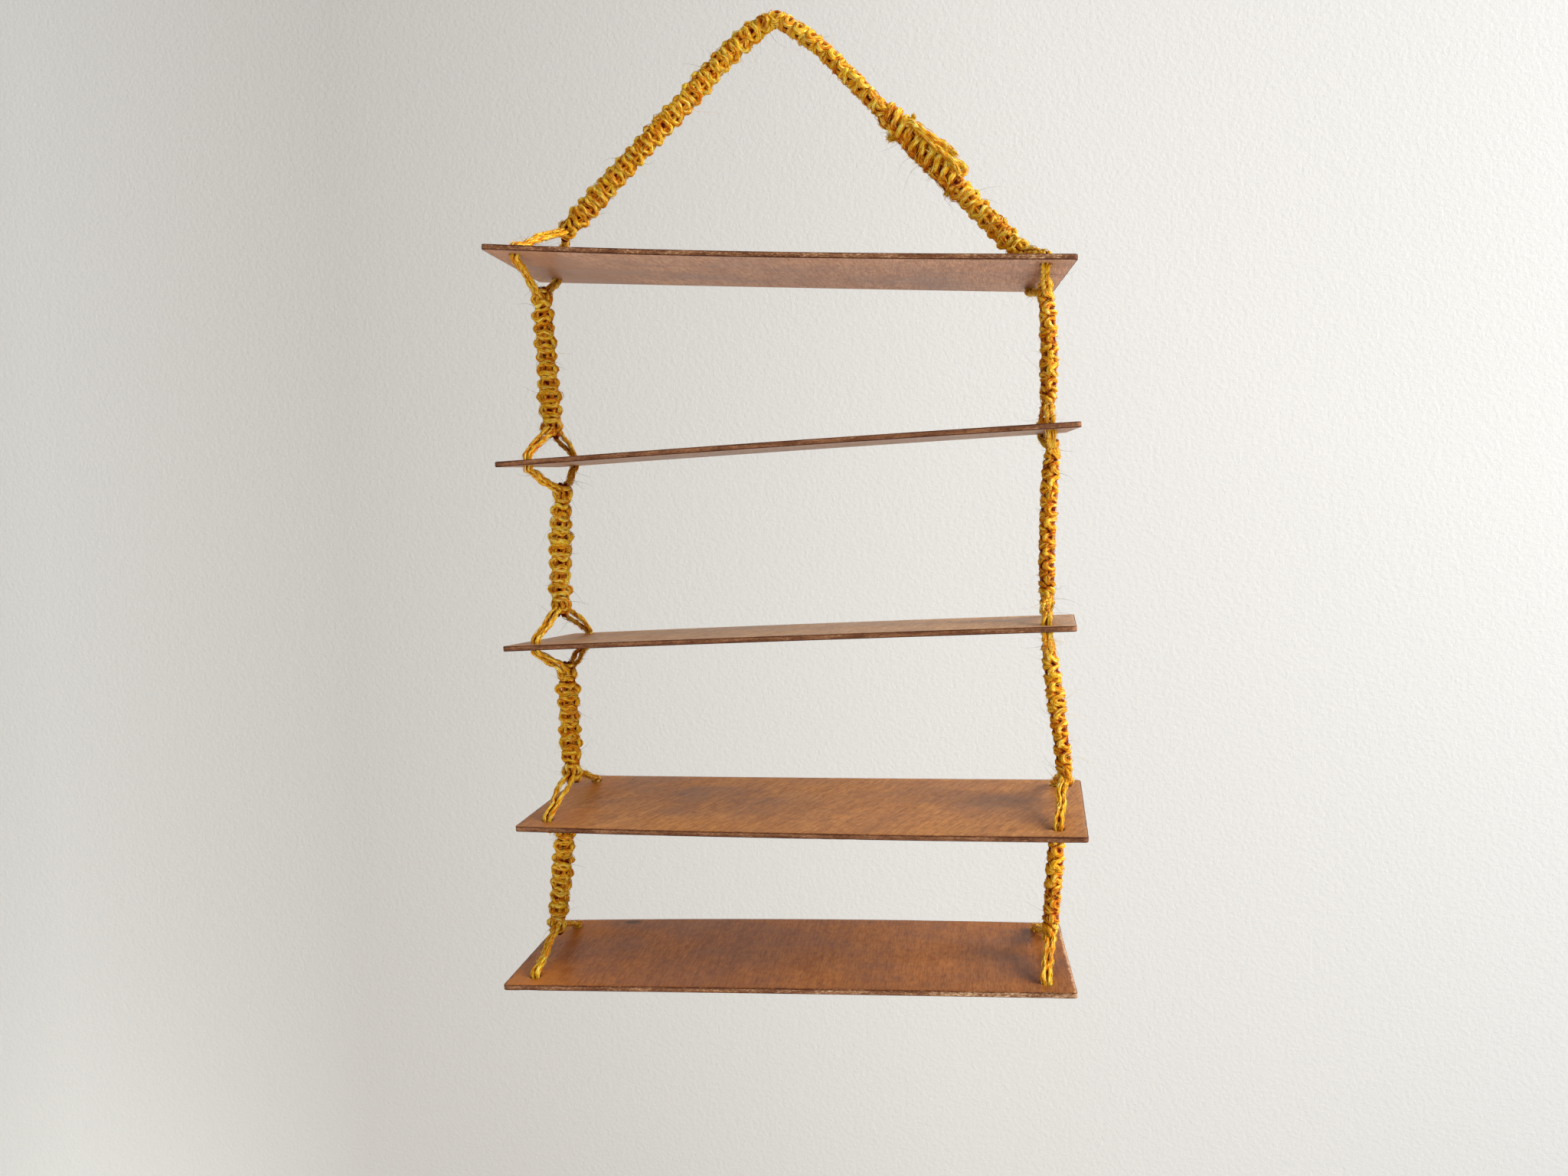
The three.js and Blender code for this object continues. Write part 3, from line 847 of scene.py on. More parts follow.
def gathering_knot(node, body, to_band, turn_degrees, seed):
    """The knot in which the cords of a board's end come together, with square knots round its middle."""
    centre = middle_of(node)
    to_band = unit(to_band)
    half = to_band * KNOT_REACH
    course = Course([centre - half, centre, centre + half], FRONT, turn_degrees)
    strands = Strands(seed)
    random = strands.random
    depth = depth_in_band(course, BAND_HALF_WIDTH, BAND_HALF_DEPTH)
    stop = 2 * KNOT_REACH - KNOT_INSET
    knots = square_knots(random, KNOT_INSET, stop, lambda place: KNOT_SWELL + KNOT_GROWTH * place)
    strands.band_cords(course, knots, BAND_GIRTH, depth)
    cores = inner_cords(random, 0.6 * KNOT_REACH, 2 * KNOT_REACH)
    strands.band_cords(course, cores, CORE_GIRTH, depth, SOFT_STEP)
    fuzz(strands, course, 0, 2 * KNOT_REACH)
    settle(strands.object(f"{node}_cords"), body, node)


# Legs, which carry the boards

LEG_GIRTH = 1.1
# The shortest and the longest lay of the cords of the legs
LEG_LAYS = (13, 26)
# Loose fibres of a leg: how far from its middle they stand, and the greatest length of short and long ones
LEG_FUZZ_OUT = (2.2, 2)
LEG_FUZZ_LENGTHS = (4, 16)
# How wide the pairs of cords open above and below each board: left front, left back, right front, right back
LOOP_OPENINGS = (
    ((0.5, 0.1), (0.3, 0.7), (0.3, 0.2), (0.2, 0.2)),
    ((0.9, 0.1), (1.3, 0.2), (0.5, 0.1), (0.5, 0.1)),
    ((0.5, 0.7), (2.1, 1.0), (0.1, 0.1), (0.6, 0.1)),
    ((1.2, 0.1), (1.3, 0.1), (0.3, 0.1), (0.3, 0.1)),
    ((0.0, 0.0), (0.2, 0.0), (0.4, 0.0), (0.2, 0.0)),
)
# Along a stretch from its knot to its hole: how far the loop opens, and how level the pair lies
LOOP_STOPS = ((0.0, 0.0, 1), (0.17, 0.7, 1), (0.36, 1.0, 1), (0.58, 0.8, 0.8), (0.8, 0.3, 0.4))
# Half the distance between the cords of a pair: closed, what opening adds, and at a hole's mouth and rim
CLOSED_GAP = 1.2
OPEN_GAP = 1.5
MOUTH_GAP = 1.6
RIM_GAP = 1.5
# How far from a board's face a pair has come together for its hole
MOUTH = 2.4
# Under the lowest board: how far a pair is from its full depth and from its hole, and half its distance
UNDER_STOPS = ((1.3, 0.5, 1.5), (0, 4.5, 1.6), (0, HOLE_Y * 0.6, 1.75))
LEG_SEED = 600
UNDER_SEED = 900


def hole_frame(tier, end, row):
    """A hole's middle, the board's upward direction and the direction along it."""
    turn, place = board_pose(tier)
    middle = turn @ np.array([ENDS[end] * HOLE_X, ROWS[row] * HOLE_Y, 0]) + place
    return middle, turn[:, 2], turn[:, 0]


def knot_above(tier, end):
    """The name of the knot from which a board's end hangs."""
    return f"{END_NAMES[end]}_lower_knot_{tier}" if tier else f"{END_NAMES[end]}_handle_knot"


def stretch_to_hole(random, knot, hole, up, opening):
    """Points of a pair of cords from a gathering knot to the rim of a hole. With each point come half the
    distance between the cords, and how far they have turned from lying along the board to lying level
    across their own way. Up is the way out of the hole on the knot's side of the board."""
    mouth = hole + up * (BOARD_THICKNESS / 2 + MOUTH)
    rim = hole + up * (BOARD_THICKNESS / 2 + CLEARANCE)
    pairs = []
    for share, wide, turned in LOOP_STOPS:
        point = knot + (mouth - knot) * share + random.normal(0, 0.4, 3)
        pairs.append((point, CLOSED_GAP + OPEN_GAP * opening * wide, turned))
    return pairs + [(mouth, MOUTH_GAP, 0), (rim, RIM_GAP, 0)]


def cord_pair(strands, pairs, along):
    """Two cords side by side along a line of points, as stretch_to_hole gives them."""
    line = np.array([point for point, _, _ in pairs])
    gaps = np.array([gap for _, gap, _ in pairs])[:, None]
    turned = np.array([turn for _, _, turn in pairs])[:, None]
    courses = courses_of(line)
    flat = unit(along - courses * (courses @ along)[:, None])
    level = unit(np.cross(courses, [0, 1, 0]))
    level = level * np.sign((level * flat).sum(axis=1))[:, None]
    wide = unit(flat * (1 - turned) + level * turned)
    middle = smooth_line(line, LINE_STEP)

    def depth(points):
        """How near points are to the crease between the cords, which the material paints as shade."""
        offsets = points.reshape(-1, 3)[:, None] - middle[None]
        gap = np.sqrt((offsets**2).sum(axis=2).min(axis=1))
        return np.clip(1.2 - gap / PLY_RADIUS, 0, 0.8).reshape(points.shape[:-1])

    for side in ENDS:
        wobble = strands.random.normal(0, 0.25, line.shape)
        wobble[[0, -1]] = 0
        cord = smooth_line(line + side * gaps * wide + wobble, CORD_STEP)
        strands.cord(cord, LEG_GIRTH, strands.random.uniform(*LEG_LAYS), depth, 0.5)


def leg_fuzz(strands, pairs, short_per_mm=1.6, long_per_mm=0.14):
    """Loose fibres along a pair of cords, short of the hole's rim."""
    line = smooth_line([point for point, _, _ in pairs[:-1]], LINE_STEP)
    random = strands.random
    for middle in line[4:-4]:
        for _ in range(random.poisson(short_per_mm)):
            lean = random.normal(size=3)
            root = middle + unit(lean) * LEG_FUZZ_OUT[0]
            strands.short_fibre(root, lean, LEG_FUZZ_LENGTHS[0], 0.12)
        for _ in range(random.poisson(long_per_mm)):
            lean = random.normal(size=3)
            tint = strands.long_tint()
            length = min(random.gamma(3, 2.3) + 2, LEG_FUZZ_LENGTHS[1])
            strands.fibre(middle + unit(lean) * LEG_FUZZ_OUT[1], lean, length, 0.12, tint, 0.7)


def leg_piece(tier, end, row):
    """One pair of cords from the knot above a board, through its hole and on to the knot below it."""
    name = f"{END_NAMES[end]}_{ROW_NAMES[row]}_leg_{tier + 1}"
    strands = Strands(LEG_SEED + 10 * tier + 2 * end + row)
    hole, up, along = hole_frame(tier, end, row)
    above = middle_of(knot_above(tier, end))
    below = middle_of(f"{END_NAMES[end]}_upper_knot_{tier + 1}")
    over, under = LOOP_OPENINGS[tier][2 * end + row]
    upper = stretch_to_hole(strands.random, above, hole, up, over)
    lower = stretch_to_hole(strands.random, below, hole, -up, under)
    cord_pair(strands, upper + lower[::-1], along)
    leg_fuzz(strands, upper)
    leg_fuzz(strands, lower)
    settle(strands.object(f"{name}_cords"), f"tier_{tier + 1}", name)


def under_loop_piece(end):
    """Under the lowest board each pair of cords runs on from the front hole to the back hole."""
    tier = TIERS - 1
    name = f"{END_NAMES[end]}_under_loop"
    strands = Strands(UNDER_SEED + end)
    knot = middle_of(knot_above(tier, end))
    depth = BOARD_THICKNESS / 2 + CORD_DIAMETER / 2 + CLEARANCE
    halves = []
    for row in range(len(ROWS)):
        hole, up, along = hole_frame(tier, end, row)
        over = LOOP_OPENINGS[tier][2 * end + row][0]
        pairs = stretch_to_hole(strands.random, knot, hole, up, over)
        inward = unit(hole_frame(tier, end, 1 - row)[0] - hole)
        leg_fuzz(strands, pairs)
        for short, across, gap in UNDER_STOPS:
            pairs.append((hole - up * (depth - short) + inward * across, gap, 0))
        halves.append(pairs)
    cord_pair(strands, halves[0] + halves[1][::-1], along)
    settle(strands.object(f"{name}_cords"), f"tier_{tier + 1}", name)


# Bands between the boards

# For each storey the left band, then the right: how far it bows, and where it swells and by how much
BOW_SHARES = ((0.03, 0.1), (-0.07, -0.08), (0, 0.02), (0.03, 0.02))
BULGES = (
    (((0.9, 0.1),), ((0.7, 0.2),)),
    (((0.42, 0.18),), ((0.25, 0.12),)),
    (((0.12, 0.22), (0.75, 0.2)), ((0.35, 0.25),)),
    (((0.45, 0.16),), ((0.4, 0.15),)),
)
BAND_TURNS = (0, 90)
# The right bands show their edge, where the shade of the hollows reaches further out
BAND_SKINS = (1.0, 1.12)
# How far bands turn to and fro, in degrees
BAND_SWAY = 9
HANDLE_SWAY = 12
HANDLE_SWAY_PHASE = 0.8
BOW_POINTS = 7


def hanging_ropes(gap, end):
    """The band at one end of a storey, with its upper and lower knots."""
    side = END_NAMES[end]
    top = middle_of(f"{side}_upper_knot_{gap + 1}")
    foot = middle_of(f"{side}_lower_knot_{gap + 1}")
    shares = np.linspace(0, 1, BOW_POINTS)
    points = top + (foot - top) * shares[:, None]
    points[:, 0] += 8 * BOW_SHARES[gap][end] * BAND_HALF_WIDTH * shares * (1 - shares)
    course = Course(points, FRONT, BAND_TURNS[end], BAND_SWAY, 1.7 * gap + 2.3 * end)
    seed = 100 * (gap + 1) + 10 * end
    name = f"{side}_band_{gap + 1}"
    to = course.length - KNOT_REACH
    band = band_piece(f"{name}_knots", course, KNOT_REACH, to, seed, BULGES[gap][end], BAND_SKINS[end])
    settle(band, f"{side}_rope_{gap + 1}", name)
    for place, way, step in (("upper", course.ways[0], 1), ("lower", -course.ways[-1], 2)):
        node = f"{side}_{place}_knot_{gap + 1}"
        gathering_knot(node, f"{place}_knots_{gap + 1}", way, BAND_TURNS[end], seed + step)


# The handle

HANDLE_TOP = (0, 0, 4.75)
HANDLE_TOP_HALF_SHARE = 0.13
HANDLE_TOP_DROP_SHARE = 0.06
# How the handle is turned, in degrees: its left foot, its left side, its top to the splice, and past that
HANDLE_TWIST = (0, 14, 14, -80, -80, 0)
# On the handle the bars of the knots lie evenly and close, over inner cords near its skin
HANDLE_KNOTS = {"places": (0.21, 0.79), "reach": 2.5, "shade": 0.28, "girth": 1.52}

SPLICE_LENGTH = 68
SPLICE_HALF_WIDTH = 9.5
SPLICE_HALF_DEPTH = 8.25
SPLICE_PLACE_SHARE = 0.59
SPLICE_SKIN = 0.98
SPLICE_SEED = 77
# The wrapping: its pitch and girth, the points in one turn, how far it lies toward the upper right of the
# band's middle, half its width and depth at the middle of the cord, and how far its turns lean
WRAP_PITCH = 6.8
WRAP_GIRTH = 1.85
WRAP_STEPS = 14
WRAP_SHIFT = 1.2
WRAP_HALF_WIDTH = 6.2
WRAP_HALF_DEPTH = 5.2
WRAP_LEAN = 1.2
# The cords of the core under the wrapping: how far out to the side, and their girth beside inner cords
SPLICE_CORES = ((CORE_SPREAD, 1.5), (4.2, 1.3))
SPLICE_CORE_REACH = 1.25
# Cords that lie along the wrapping: girth, then points by how far toward the upper right and the front
# they are, and at which share of its length
LAID_CORDS = (
    (1.75, (
        (4, 4, 0.2), (8, 4.4, 0.3), (9.2, 4.8, 0.42), (11, 4.2, 0.54), (12.2, 3.8, 0.63), (12.2, 3.6, 0.7),
    )),
    (1.3, (
        (6, 5, 0.34), (8.2, 5.8, 0.46), (8, 6.2, 0.6), (8.6, 5.9, 0.72), (7.6, 5.6, 0.86), (5.2, 4, 0.97),
    )),
    (1.5, (
        (6, 2.5, 0.72), (9.2, 3, 0.8), (10.9, 3, 0.88), (11.2, 3, 0.95), (8.8, 3.2, 0.97), (5.6, 3, 0.93),
    )),
)
# The lay of the wrapping's cord and of the cords along it, how many wisps they have on a millimetre, and
# the loose fibres: short and long ones on a millimetre, and how far out they stand beside those of a band
WRAP_LAY = 19
LAID_LAY = 18
SPLICE_WISPS = 0.8
SPLICE_FUZZ = (4.5, 0.4, 1.3)
# The fibres of the brush at a cut end of size 1
BRUSH_FIBRES = 190
BRUSH_GIRTH = 1.6
# Cut ends: place and way, each toward the upper right, toward the front and along, and size
CUT_ENDS = (
    ((12, 3.7, 0.7), (0.2, 0, 1), 1.1),
    ((8.6, 2, 0.24), (1, 0.1, -0.3), 0.7),
    ((-5.2, 1, 0.24), (-0.8, 0.1, -0.7), 1.05),
    ((-5.4, 1, 0.98), (-1, 0.1, 0.4), 0.7),
)


def handle_course():
    """The middle line of the handle, and the place of its top along it."""
    top = np.array(HANDLE_TOP)
    sides = []
    for side in END_NAMES:
        foot = middle_of(f"{side}_handle_knot")
        drop = (foot[2] - top[2]) * HANDLE_TOP_DROP_SHARE
        shoulder = np.array([foot[0] * HANDLE_TOP_HALF_SHARE, 0, top[2] + drop])
        turn_in = shoulder + (foot - shoulder) * HANDLE_TOP_HALF_SHARE
        straight = [foot + (turn_in - foot) * share for share in (0, 0.25, 0.5, 0.75, 1)]
        bend = [turn_in * (1 - t) ** 2 + shoulder * 2 * t * (1 - t) + top * t**2 for t in (0.35, 0.7)]
        sides.append(straight + bend)
    course = Course(sides[0] + [top] + sides[1][::-1], FRONT, 0, HANDLE_SWAY, HANDLE_SWAY_PHASE)
    return course, course.lengths[np.linalg.norm(course.line - top, axis=1).argmin()]


def frayed_end(strands, root, way, size):
    """A cut cord end that opens into a short brush."""
    random = strands.random
    line = smooth_line([root - way * 3, root, root + way * 3 * size], CORD_STEP)
    strands.cord(line, BRUSH_GIRTH * size, 22)
    for _ in range(round(BRUSH_FIBRES * size)):
        begin = root + way * random.uniform(0, 3.4) * size + random.normal(0, 1.0 * size, 3)
        spread = random.normal(0, 0.24, 3)
        length = random.uniform(1.8, 4) * size
        strands.fibre(begin, way + spread, length, 0.3, random.uniform(0, 1), 0.2, look=0)


def splice_piece(course, start, end):
    """The wrapping over the joined ends of the band: a cord wound round a thick core, cords laid along its
    upper side and cut ends."""
    strands = Strands(SPLICE_SEED)
    random = strands.random
    # How deep in the splice points lie, which the material paints as shade in the gaps of the wrapping
    depth = depth_in_band(course, SPLICE_HALF_WIDTH * SPLICE_SKIN, SPLICE_HALF_DEPTH * SPLICE_SKIN)

    def placed(points):
        points = np.array(points, float)
        return np.stack([-points[:, 0], points[:, 1], start + (end - start) * points[:, 2]], axis=1)

    turns = round((end - start) / WRAP_PITCH)
    shares = np.linspace(0, 1, turns * WRAP_STEPS)
    angles = 2 * math.pi * turns * shares
    size = 0.7 + 0.3 * np.sin(math.pi * np.clip(shares, 0.02, 0.98)) ** 0.5
    upper = WRAP_HALF_WIDTH * size * np.cos(angles) + WRAP_SHIFT
    front = WRAP_HALF_DEPTH * size * np.sin(angles)
    along = shares - WRAP_LEAN / (end - start) * np.cos(angles)
    wrap = placed(np.stack([upper, front, along], axis=1)) + random.normal(0, 0.22, (len(shares), 3))
    strands.cord(course.place(smooth_line(wrap, CORD_STEP)), WRAP_GIRTH, WRAP_LAY, depth, SPLICE_WISPS)
    for spread, girth in SPLICE_CORES:
        cores = inner_cords(random, start - 2, end + 2, spread)
        for line in cores:
            line[:, 1] *= SPLICE_CORE_REACH
        strands.band_cords(course, cores, girth * CORE_GIRTH, depth, SOFT_STEP)
    for girth, points in LAID_CORDS:
        line = smooth_line(course.place(placed(points)), CORD_STEP)
        strands.cord(line, girth, LAID_LAY, None, SPLICE_WISPS)
    for place, way, size_share in CUT_ENDS:
        root = course.place(placed([place]))[0]
        far = course.place(placed([place]) + [[-way[0], way[1], way[2]]])[0]
        frayed_end(strands, root, unit(far - root), size_share)
    fuzz(strands, course, start, end, *SPLICE_FUZZ)
    return strands.object("handle_splice_knots")


def make_handle():
    course, top_place = handle_course()
    splice = top_place + (course.length - top_place) * SPLICE_PLACE_SHARE
    start = splice - SPLICE_LENGTH / 2
    end = splice + SPLICE_LENGTH / 2
    # The left side of the handle is turned a little, and from its top to the splice it shows its edge
    course.turn(np.interp(course.lengths, (0, 40, top_place - 18, top_place + 10, start, end), HANDLE_TWIST))
    foot = course.length - KNOT_REACH
    for name, begin, stop, seed in (("long", KNOT_REACH, start, 11), ("short", end, foot, 12)):
        node = f"handle_{name}_band"
        settle(band_piece(f"{node}_knots", course, begin, stop, seed, **HANDLE_KNOTS), "handle", node)
    # The splice itself isn't turned
    settle(splice_piece(handle_course()[0], start, end), "handle", "handle_splice")
    for index, way in enumerate((course.ways[0], -course.ways[-1])):
        gathering_knot(f"{END_NAMES[index]}_handle_knot", "handle", way, 0, 14 + index)


# Boards

EDGE_STEP = 1.6
FACE_STEP = 9
FACE_INSET = 7
CORNER_STEPS = 6
HOLE_SIDES = 28
# The first points inside an outline lie this far in, and further points as far from a hole as this
FIRST_INSET = 3.2
HOLE_RING = 3
HOLE_ROOM = 5
# Across the thickness of a board, from its top: how far each ring lies in, and its height as a share
EDGE_PROFILE = (
    (0.6, 0.5), (0.24, 0.47), (0.06, 0.4), (0, 0.22), (0, -0.22), (0.06, -0.4), (0.24, -0.47), (0.6, -0.5),
)
HOLE_PROFILE = ((0.25, 0.5), (0.08, 0.46), (0, 0.34), (0, -0.34), (0.08, -0.46), (0.25, -0.5))
# How far each board bends up at the middle of its front and of its back, and how much more to the right
WARPS = (
    ((-1.6, 0.4), (-0.2, 0.0)),
    ((0.5, 0.0), (0.3, 0.0)),
    ((0.3, 0.0), (0.4, 0.0)),
    ((-0.8, 0.0), (-0.2, 0.0)),
    ((0.3, 0.0), (1.6, 0.2)),
)
SHARP_DEGREES = 50
BOARD_SEED = 40
# How far the fine and the broad dents and the chips of a board's edge reach, in points of its outline
FINE_REACH = 1.2
BROAD_REACH = 14
CHIP_REACH = 2.2


def circle(sides):
    angles = 2 * math.pi * np.arange(sides) / sides
    return np.stack([np.cos(angles), np.sin(angles)], axis=1)


def board_outline():
    """Points round a board's plan and the outward direction at each."""
    half = (BOARD_LENGTH / 2, BOARD_WIDTH / 2)
    spots = []
    for x, y, begin in ((1, -1, -90), (1, 1, 0), (-1, 1, 90), (-1, -1, 180)):
        middle = np.array([x * (half[0] - CORNER_RADIUS), y * (half[1] - CORNER_RADIUS)])
        for angle in np.radians(np.linspace(begin, begin + 90, CORNER_STEPS)):
            way = np.array([math.cos(angle), math.sin(angle)])
            spots.append((middle + way * CORNER_RADIUS, way))
    points = []
    outward = []
    for (point, way), (after, way_after) in zip(spots, spots[1:] + spots[:1]):
        count = max(1, round(np.linalg.norm(after - point) / EDGE_STEP))
        for share in np.arange(count) / count:
            points.append(point + (after - point) * share)
            outward.append(unit(way + (way_after - way) * share))
    return np.array(points), np.array(outward)


def board_plan(outline, outward, holes):
    """Points and triangles of a board's face, and the places among the points of the outline's own and then
    of those round the holes."""
    loops = [outline - outward * EDGE_PROFILE[0][0]]
    loops += [hole + circle(HOLE_SIDES) * (HOLE_RADIUS + HOLE_PROFILE[0][0]) for hole in holes]
    grounds = [outline[::2] - outward[::2] * FIRST_INSET]
    grounds += [hole + circle(HOLE_SIDES // 2) * (HOLE_RADIUS + HOLE_RING) for hole in holes]
    grid = np.stack(np.meshgrid(
        np.arange(-BOARD_LENGTH / 2 + FACE_INSET, BOARD_LENGTH / 2 - FACE_INSET + 1, FACE_STEP),
        np.arange(-BOARD_WIDTH / 2 + FACE_INSET, BOARD_WIDTH / 2 - FACE_INSET + 1, FACE_STEP),
    ), axis=-1).reshape(-1, 2)
    for hole in holes:
        grid = grid[np.linalg.norm(grid - hole, axis=1) > HOLE_RADIUS + HOLE_ROOM]
    edges = []
    count = 0
    for loop in loops:
        edges += [(count + i, count + (i + 1) % len(loop)) for i in range(len(loop))]
        count += len(loop)
    flat = [Vector(point) for point in np.vstack([*loops, *grounds, grid])]
    points, _, triangles, origins, _, _ = delaunay_2d_cdt(flat, edges, [], 0, 1e-6)
    points = np.array([tuple(point) for point in points])
    triangles = np.array(triangles)
    middles = points[triangles].mean(axis=1)
    keep = np.ones(len(triangles), bool)
    for hole in holes:
        keep &= np.linalg.norm(middles - hole, axis=1) > HOLE_RADIUS + HOLE_PROFILE[0][0] * 0.9
    place_of = {origin: index for index, group in enumerate(origins) for origin in group}
    return points, triangles[keep], [place_of[index] for index in range(count)]


def wandering(random, count, reach):
    """A smooth random line round a loop of count points, about from -1 to 1."""
    raw = random.normal(size=count)
    spread = np.exp(-0.5 * (np.minimum(np.arange(count), count - np.arange(count)) / reach) ** 2)
    smooth = np.real(np.fft.ifft(np.fft.fft(raw) * np.fft.fft(spread)))
    return smooth / smooth.std() / 2


class Rings:
    """The points of a board with its faces, to which walls between its two faces are added ring by ring."""

    def __init__(self, top, under, triangles):
        self.points = [top, under]
        self.count = 2 * len(top)
        self.faces = triangles.tolist() + (triangles[:, ::-1] + len(top)).tolist()
        self.looks = [0] * len(triangles) + [1] * len(triangles)

    def wall(self, loop, rings, flip):
        """Joins a loop of the top, the new rings and the same loop of the underside with quads."""
        levels = [loop]
        for ring in rings:
            self.points.append(ring)
            levels.append(np.arange(self.count, self.count + len(ring)))
            self.count += len(ring)
        levels.append(loop + len(self.points[0]))
        for upper, lower in zip(levels, levels[1:]):
            quads = np.stack([upper, lower, np.roll(lower, -1), np.roll(upper, -1)], axis=1)
            self.faces += (quads[:, ::-1] if flip else quads).tolist()
            self.looks += [2] * len(quads)


def board_piece(tier):
    """A worn plywood board with rounded, chipped edges and a slight warp."""
    random = np.random.default_rng(BOARD_SEED + tier)
    outline, outward = board_outline()
    holes = [np.array([x * HOLE_X, y * HOLE_Y]) for x in ENDS for y in ROWS]
    plan, triangles, order = board_plan(outline, outward, holes)
    order = np.array(order)
    rim = len(outline)
    fine = wandering(random, rim, FINE_REACH)
    broad = wandering(random, rim, BROAD_REACH)
    chips = {}
    for sign in (1, -1):
        chips[sign] = np.maximum(wandering(random, rim, CHIP_REACH) + 0.5 * broad - 0.75, 0)
    faces = []
    for sign in (1, -1):
        face = np.column_stack([plan, np.full(len(plan), sign * BOARD_THICKNESS / 2)])
        inward = np.minimum(0.5 * chips[sign] + 0.05 * fine, 1.0)
        face[order[:rim], :2] -= outward * inward[:, None]
        faces.append(face)
    board = Rings(*faces, triangles)
    rings = []
    for inset, height in EDGE_PROFILE[1:-1]:
        sign = 1 if height > 0 else -1
        near_edge = max(0, (abs(height) - 0.3) / 0.2)
        dent = 0.06 * fine + 0.05 * broad + 0.75 * chips[sign] * near_edge + 0.1 * chips[sign]
        level = height * BOARD_THICKNESS - sign * 0.25 * chips[sign] * near_edge
        rings.append(np.column_stack([outline - outward * (inset + dent)[:, None], level]))
    board.wall(order[:rim], rings, False)
    for index, hole in enumerate(holes):
        begin = rim + index * HOLE_SIDES
        rings = []
        for inset, height in HOLE_PROFILE[1:-1]:
            ring = hole + circle(HOLE_SIDES) * (HOLE_RADIUS + inset)
            rings.append(np.column_stack([ring, np.full(HOLE_SIDES, height * BOARD_THICKNESS)]))
        board.wall(order[begin : begin + HOLE_SIDES], rings, True)
    local = np.vstack(board.points)
    # The warp is nothing at the ends of the board and most at its middle, and differs from front to back
    (front, front_skew), (back, back_skew) = WARPS[tier]
    share = np.clip(1 - (local[:, 0] / HOLE_X) ** 2, -0.2, 1)
    backness = np.clip(local[:, 1] / BOARD_WIDTH + 0.5, 0, 1)
    lean = local[:, 0] / BOARD_LENGTH
    warped = local.copy()
    rise_front = (front + front_skew * lean) * (1 - backness)
    rise_back = (back + back_skew * lean) * backness
    warped[:, 2] += share * (rise_front + rise_back)
    turn, place = board_pose(tier)
    name = f"shelf_board_{tier + 1}"
    values = {"local": local * METRES, "ply": local[:, 2] / BOARD_THICKNESS + 0.5}
    points = warped @ turn.T + place
    piece = make_object(f"{name}_ply", points, board.faces, board_looks(tier), board.looks, values)
    piece.data.set_sharp_from_angle(angle=math.radians(SHARP_DEGREES))
    settle(piece, f"tier_{tier + 1}", name)


# Camera, wall, floor and light

WALL_DISTANCE = 1150
FLOOR_DEPTH = 2050
STAGE_HALF = 5000
STAGE_HEIGHT = 3500
STAGE_BEND = 500
BEND_POINTS = 17
# The part of the wall near the window lamp, which is painted a little darker as painted shade against the
# lamp's light: its middle and how far it reaches
CORNER = (1250, 1150, 750)
CORNER_REACH = 1100
# Across the wall, in metres: where its tones start and end
TONES_FROM = -1.6
TONES_TO = 1.2

SHELF_MIDDLE = (0, 0, -330)
# Lamps: place, where it points, size, power and colour
LAMPS = {
    "window_light": ((3300, -480, 1210), SHELF_MIDDLE, (1850, 1850), 214, (1, 0.99, 0.965)),
    "room_fill": ((-1500, -2100, 200), SHELF_MIDDLE, (2000, 2000), 19, (1, 0.975, 0.94)),
    "floor_bounce": ((600, -900, -1350), SHELF_MIDDLE, (1800, 1200), 12.3, (1, 0.99, 0.97)),
    "left_bounce": ((-1500, 500, -1900), (-1700, 1150, -1400), (900, 600), 1.6, (0.97, 1, 0.99)),
}
ROOM_COLOUR = (0.97, 0.97, 0.98, 1)
ROOM_STRENGTH = 0.28


def make_camera():
    data = bpy.data.cameras.new("camera")
    data.sensor_width = SENSOR_WIDTH
    data.lens = FOCAL_PIXELS / PICTURE_WIDTH * SENSOR_WIDTH
    data.clip_start = 0.01
    data.clip_end = 50
    camera = bpy.data.objects.new("camera", data)
    bpy.context.scene.collection.objects.link(camera)
    turns = (
        Matrix.Rotation(math.radians(CAMERA_TURN), 4, "Z")
        @ Matrix.Rotation(math.radians(CAMERA_TIP), 4, "X")
        @ Matrix.Rotation(math.radians(CAMERA_ROLL), 4, "Y")
    )
    # A camera looks along its own -Z, so it is stood up first
    upright = Matrix.Rotation(math.pi / 2, 4, "X")
    camera.matrix_world = Matrix.Translation(Vector(CAMERA_PLACE) * METRES) @ turns @ upright
    bpy.context.scene.camera = camera


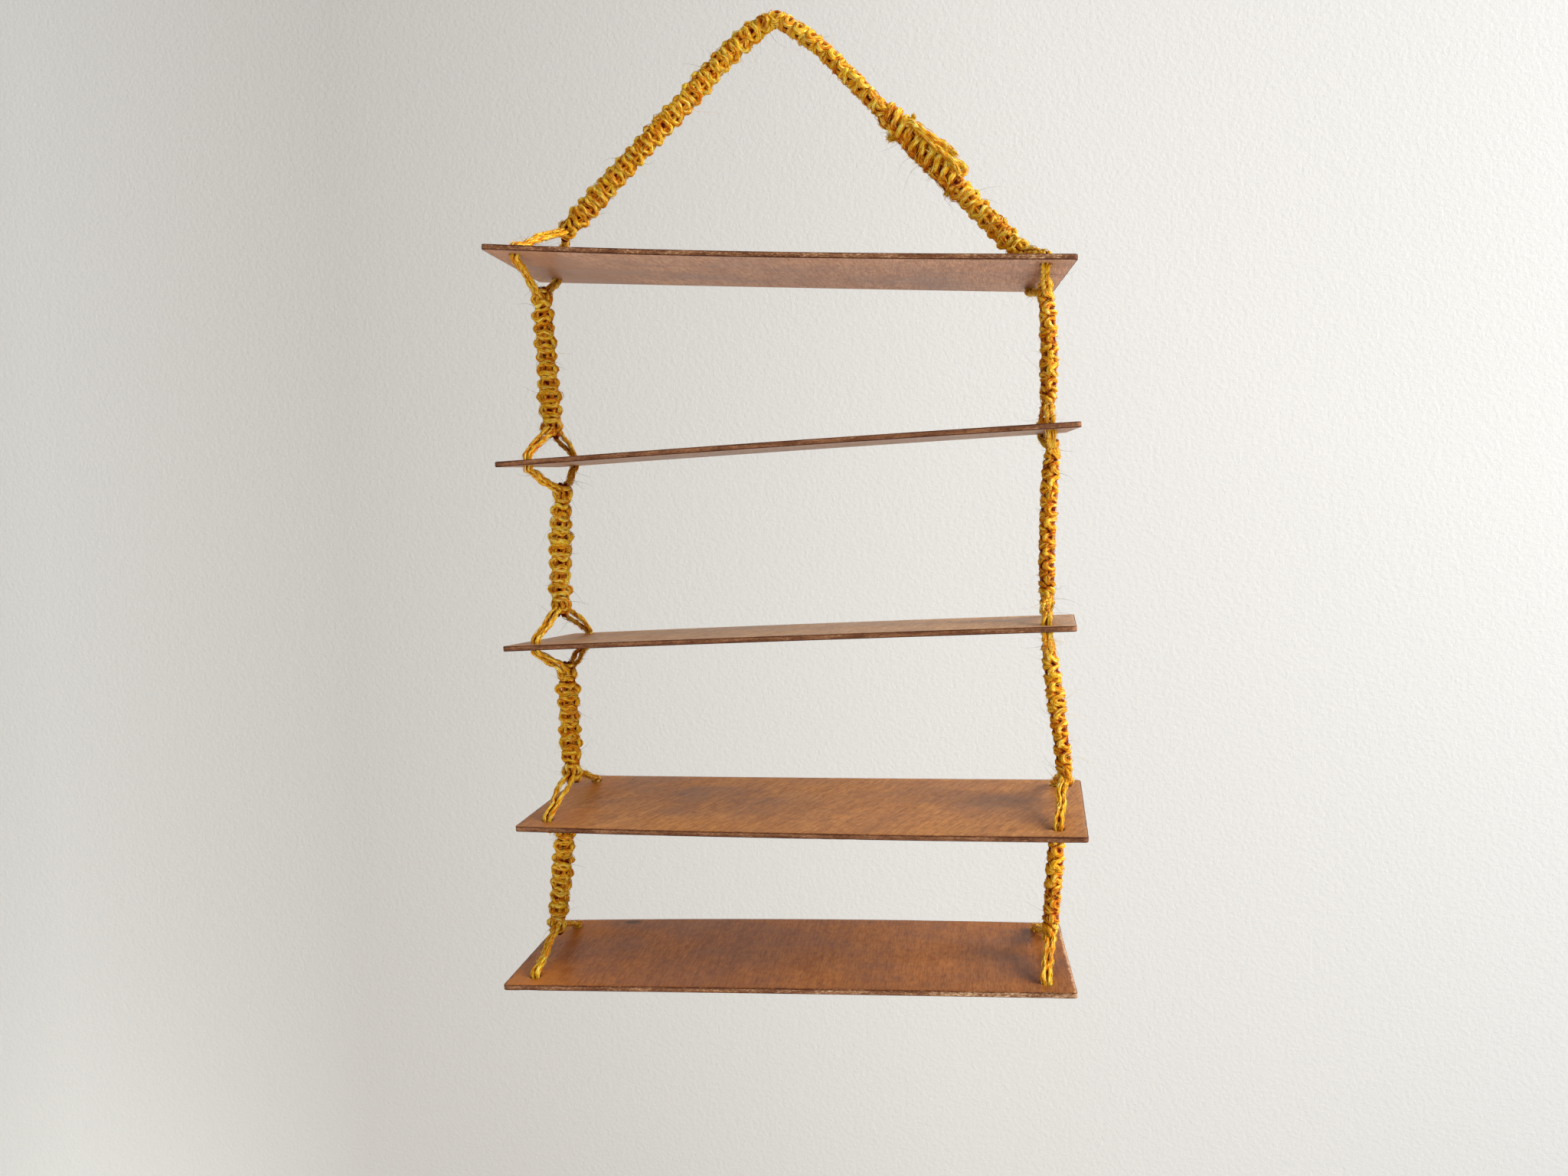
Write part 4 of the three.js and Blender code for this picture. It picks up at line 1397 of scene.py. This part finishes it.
def wall_look():
    """Pale plaster with painted light and shade: lighter at its left end, and darker near the window lamp."""
    look = Look("pale_wall", 0.9)
    place = look.add("ShaderNodeTexCoord", {}, "Object")
    across = look.part(place, "X")
    range_of = {"Value": across, "From Min": TONES_FROM, "From Max": TONES_TO}
    across = look.add("ShaderNodeMapRange", range_of, "Result")
    # Painted light and shade across the wall: much lighter at its far left end, then nearly even
    left = (0, (234, 233, 229)), (0.22, (209, 206, 202))
    base = look.ramp(across, *left, (0.6, (215, 213, 210)), (1, (207, 207, 206)))
    # Painted shade where the window lamp lights the wall most
    corner = look.distance(place, CORNER, (CORNER_REACH,) * 3)
    base = look.stain(base, 1.0, corner, (0.3, (242, 242, 242)), (1, WHITE))
    grain = look.noise(place, (170, 170, 170), detail=3, roughness=0.6)
    return look.finish(base, look.bump(grain, 2.0, 0.42))


def make_stage():
    """A pale wall that curves into a pale floor."""
    profile = [(-STAGE_HALF, -FLOOR_DEPTH)]
    for angle in np.radians(np.linspace(-90, 0, BEND_POINTS)):
        y = WALL_DISTANCE - STAGE_BEND + STAGE_BEND * math.cos(angle)
        z = -FLOOR_DEPTH + STAGE_BEND + STAGE_BEND * math.sin(angle)
        profile.append((y, z))
    profile.append((WALL_DISTANCE, STAGE_HEIGHT))
    points = [(x, y, z) for y, z in profile for x in (-STAGE_HALF, STAGE_HALF)]
    faces = [(2 * i, 2 * i + 1, 2 * i + 3, 2 * i + 2) for i in range(len(profile) - 1)]
    make_object("wall_and_floor", points, faces, (wall_look(),), [0] * len(faces), {})


def make_light():
    for name, (place, target, size, power, colour) in LAMPS.items():
        data = bpy.data.lights.new(name, "AREA")
        data.shape = "RECTANGLE"
        data.size = size[0] * METRES
        data.size_y = size[1] * METRES
        data.energy = power
        data.color = colour
        lamp = bpy.data.objects.new(name, data)
        bpy.context.scene.collection.objects.link(lamp)
        lamp.location = Vector(place) * METRES
        lamp.rotation_euler = (Vector(target) - Vector(place)).to_track_quat("-Z", "Y").to_euler()
    world = bpy.data.worlds.new("room")
    bpy.context.scene.world = world
    world.use_nodes = True
    background = world.node_tree.nodes["Background"]
    background.inputs["Color"].default_value = ROOM_COLOUR
    background.inputs["Strength"].default_value = ROOM_STRENGTH


make_camera()
make_handle()
for storey in range(TIERS - 1):
    for end_index in range(len(ENDS)):
        hanging_ropes(storey, end_index)
for board_tier in range(TIERS - 1):
    for end_index in range(len(ENDS)):
        for row_index in range(len(ROWS)):
            leg_piece(board_tier, end_index, row_index)
for end_index in range(len(ENDS)):
    under_loop_piece(end_index)
for board_tier in range(TIERS):
    board_piece(board_tier)
make_stage()
make_light()
bpy.context.scene.view_settings.view_transform = "Standard"

bpy.context.view_layer.update()
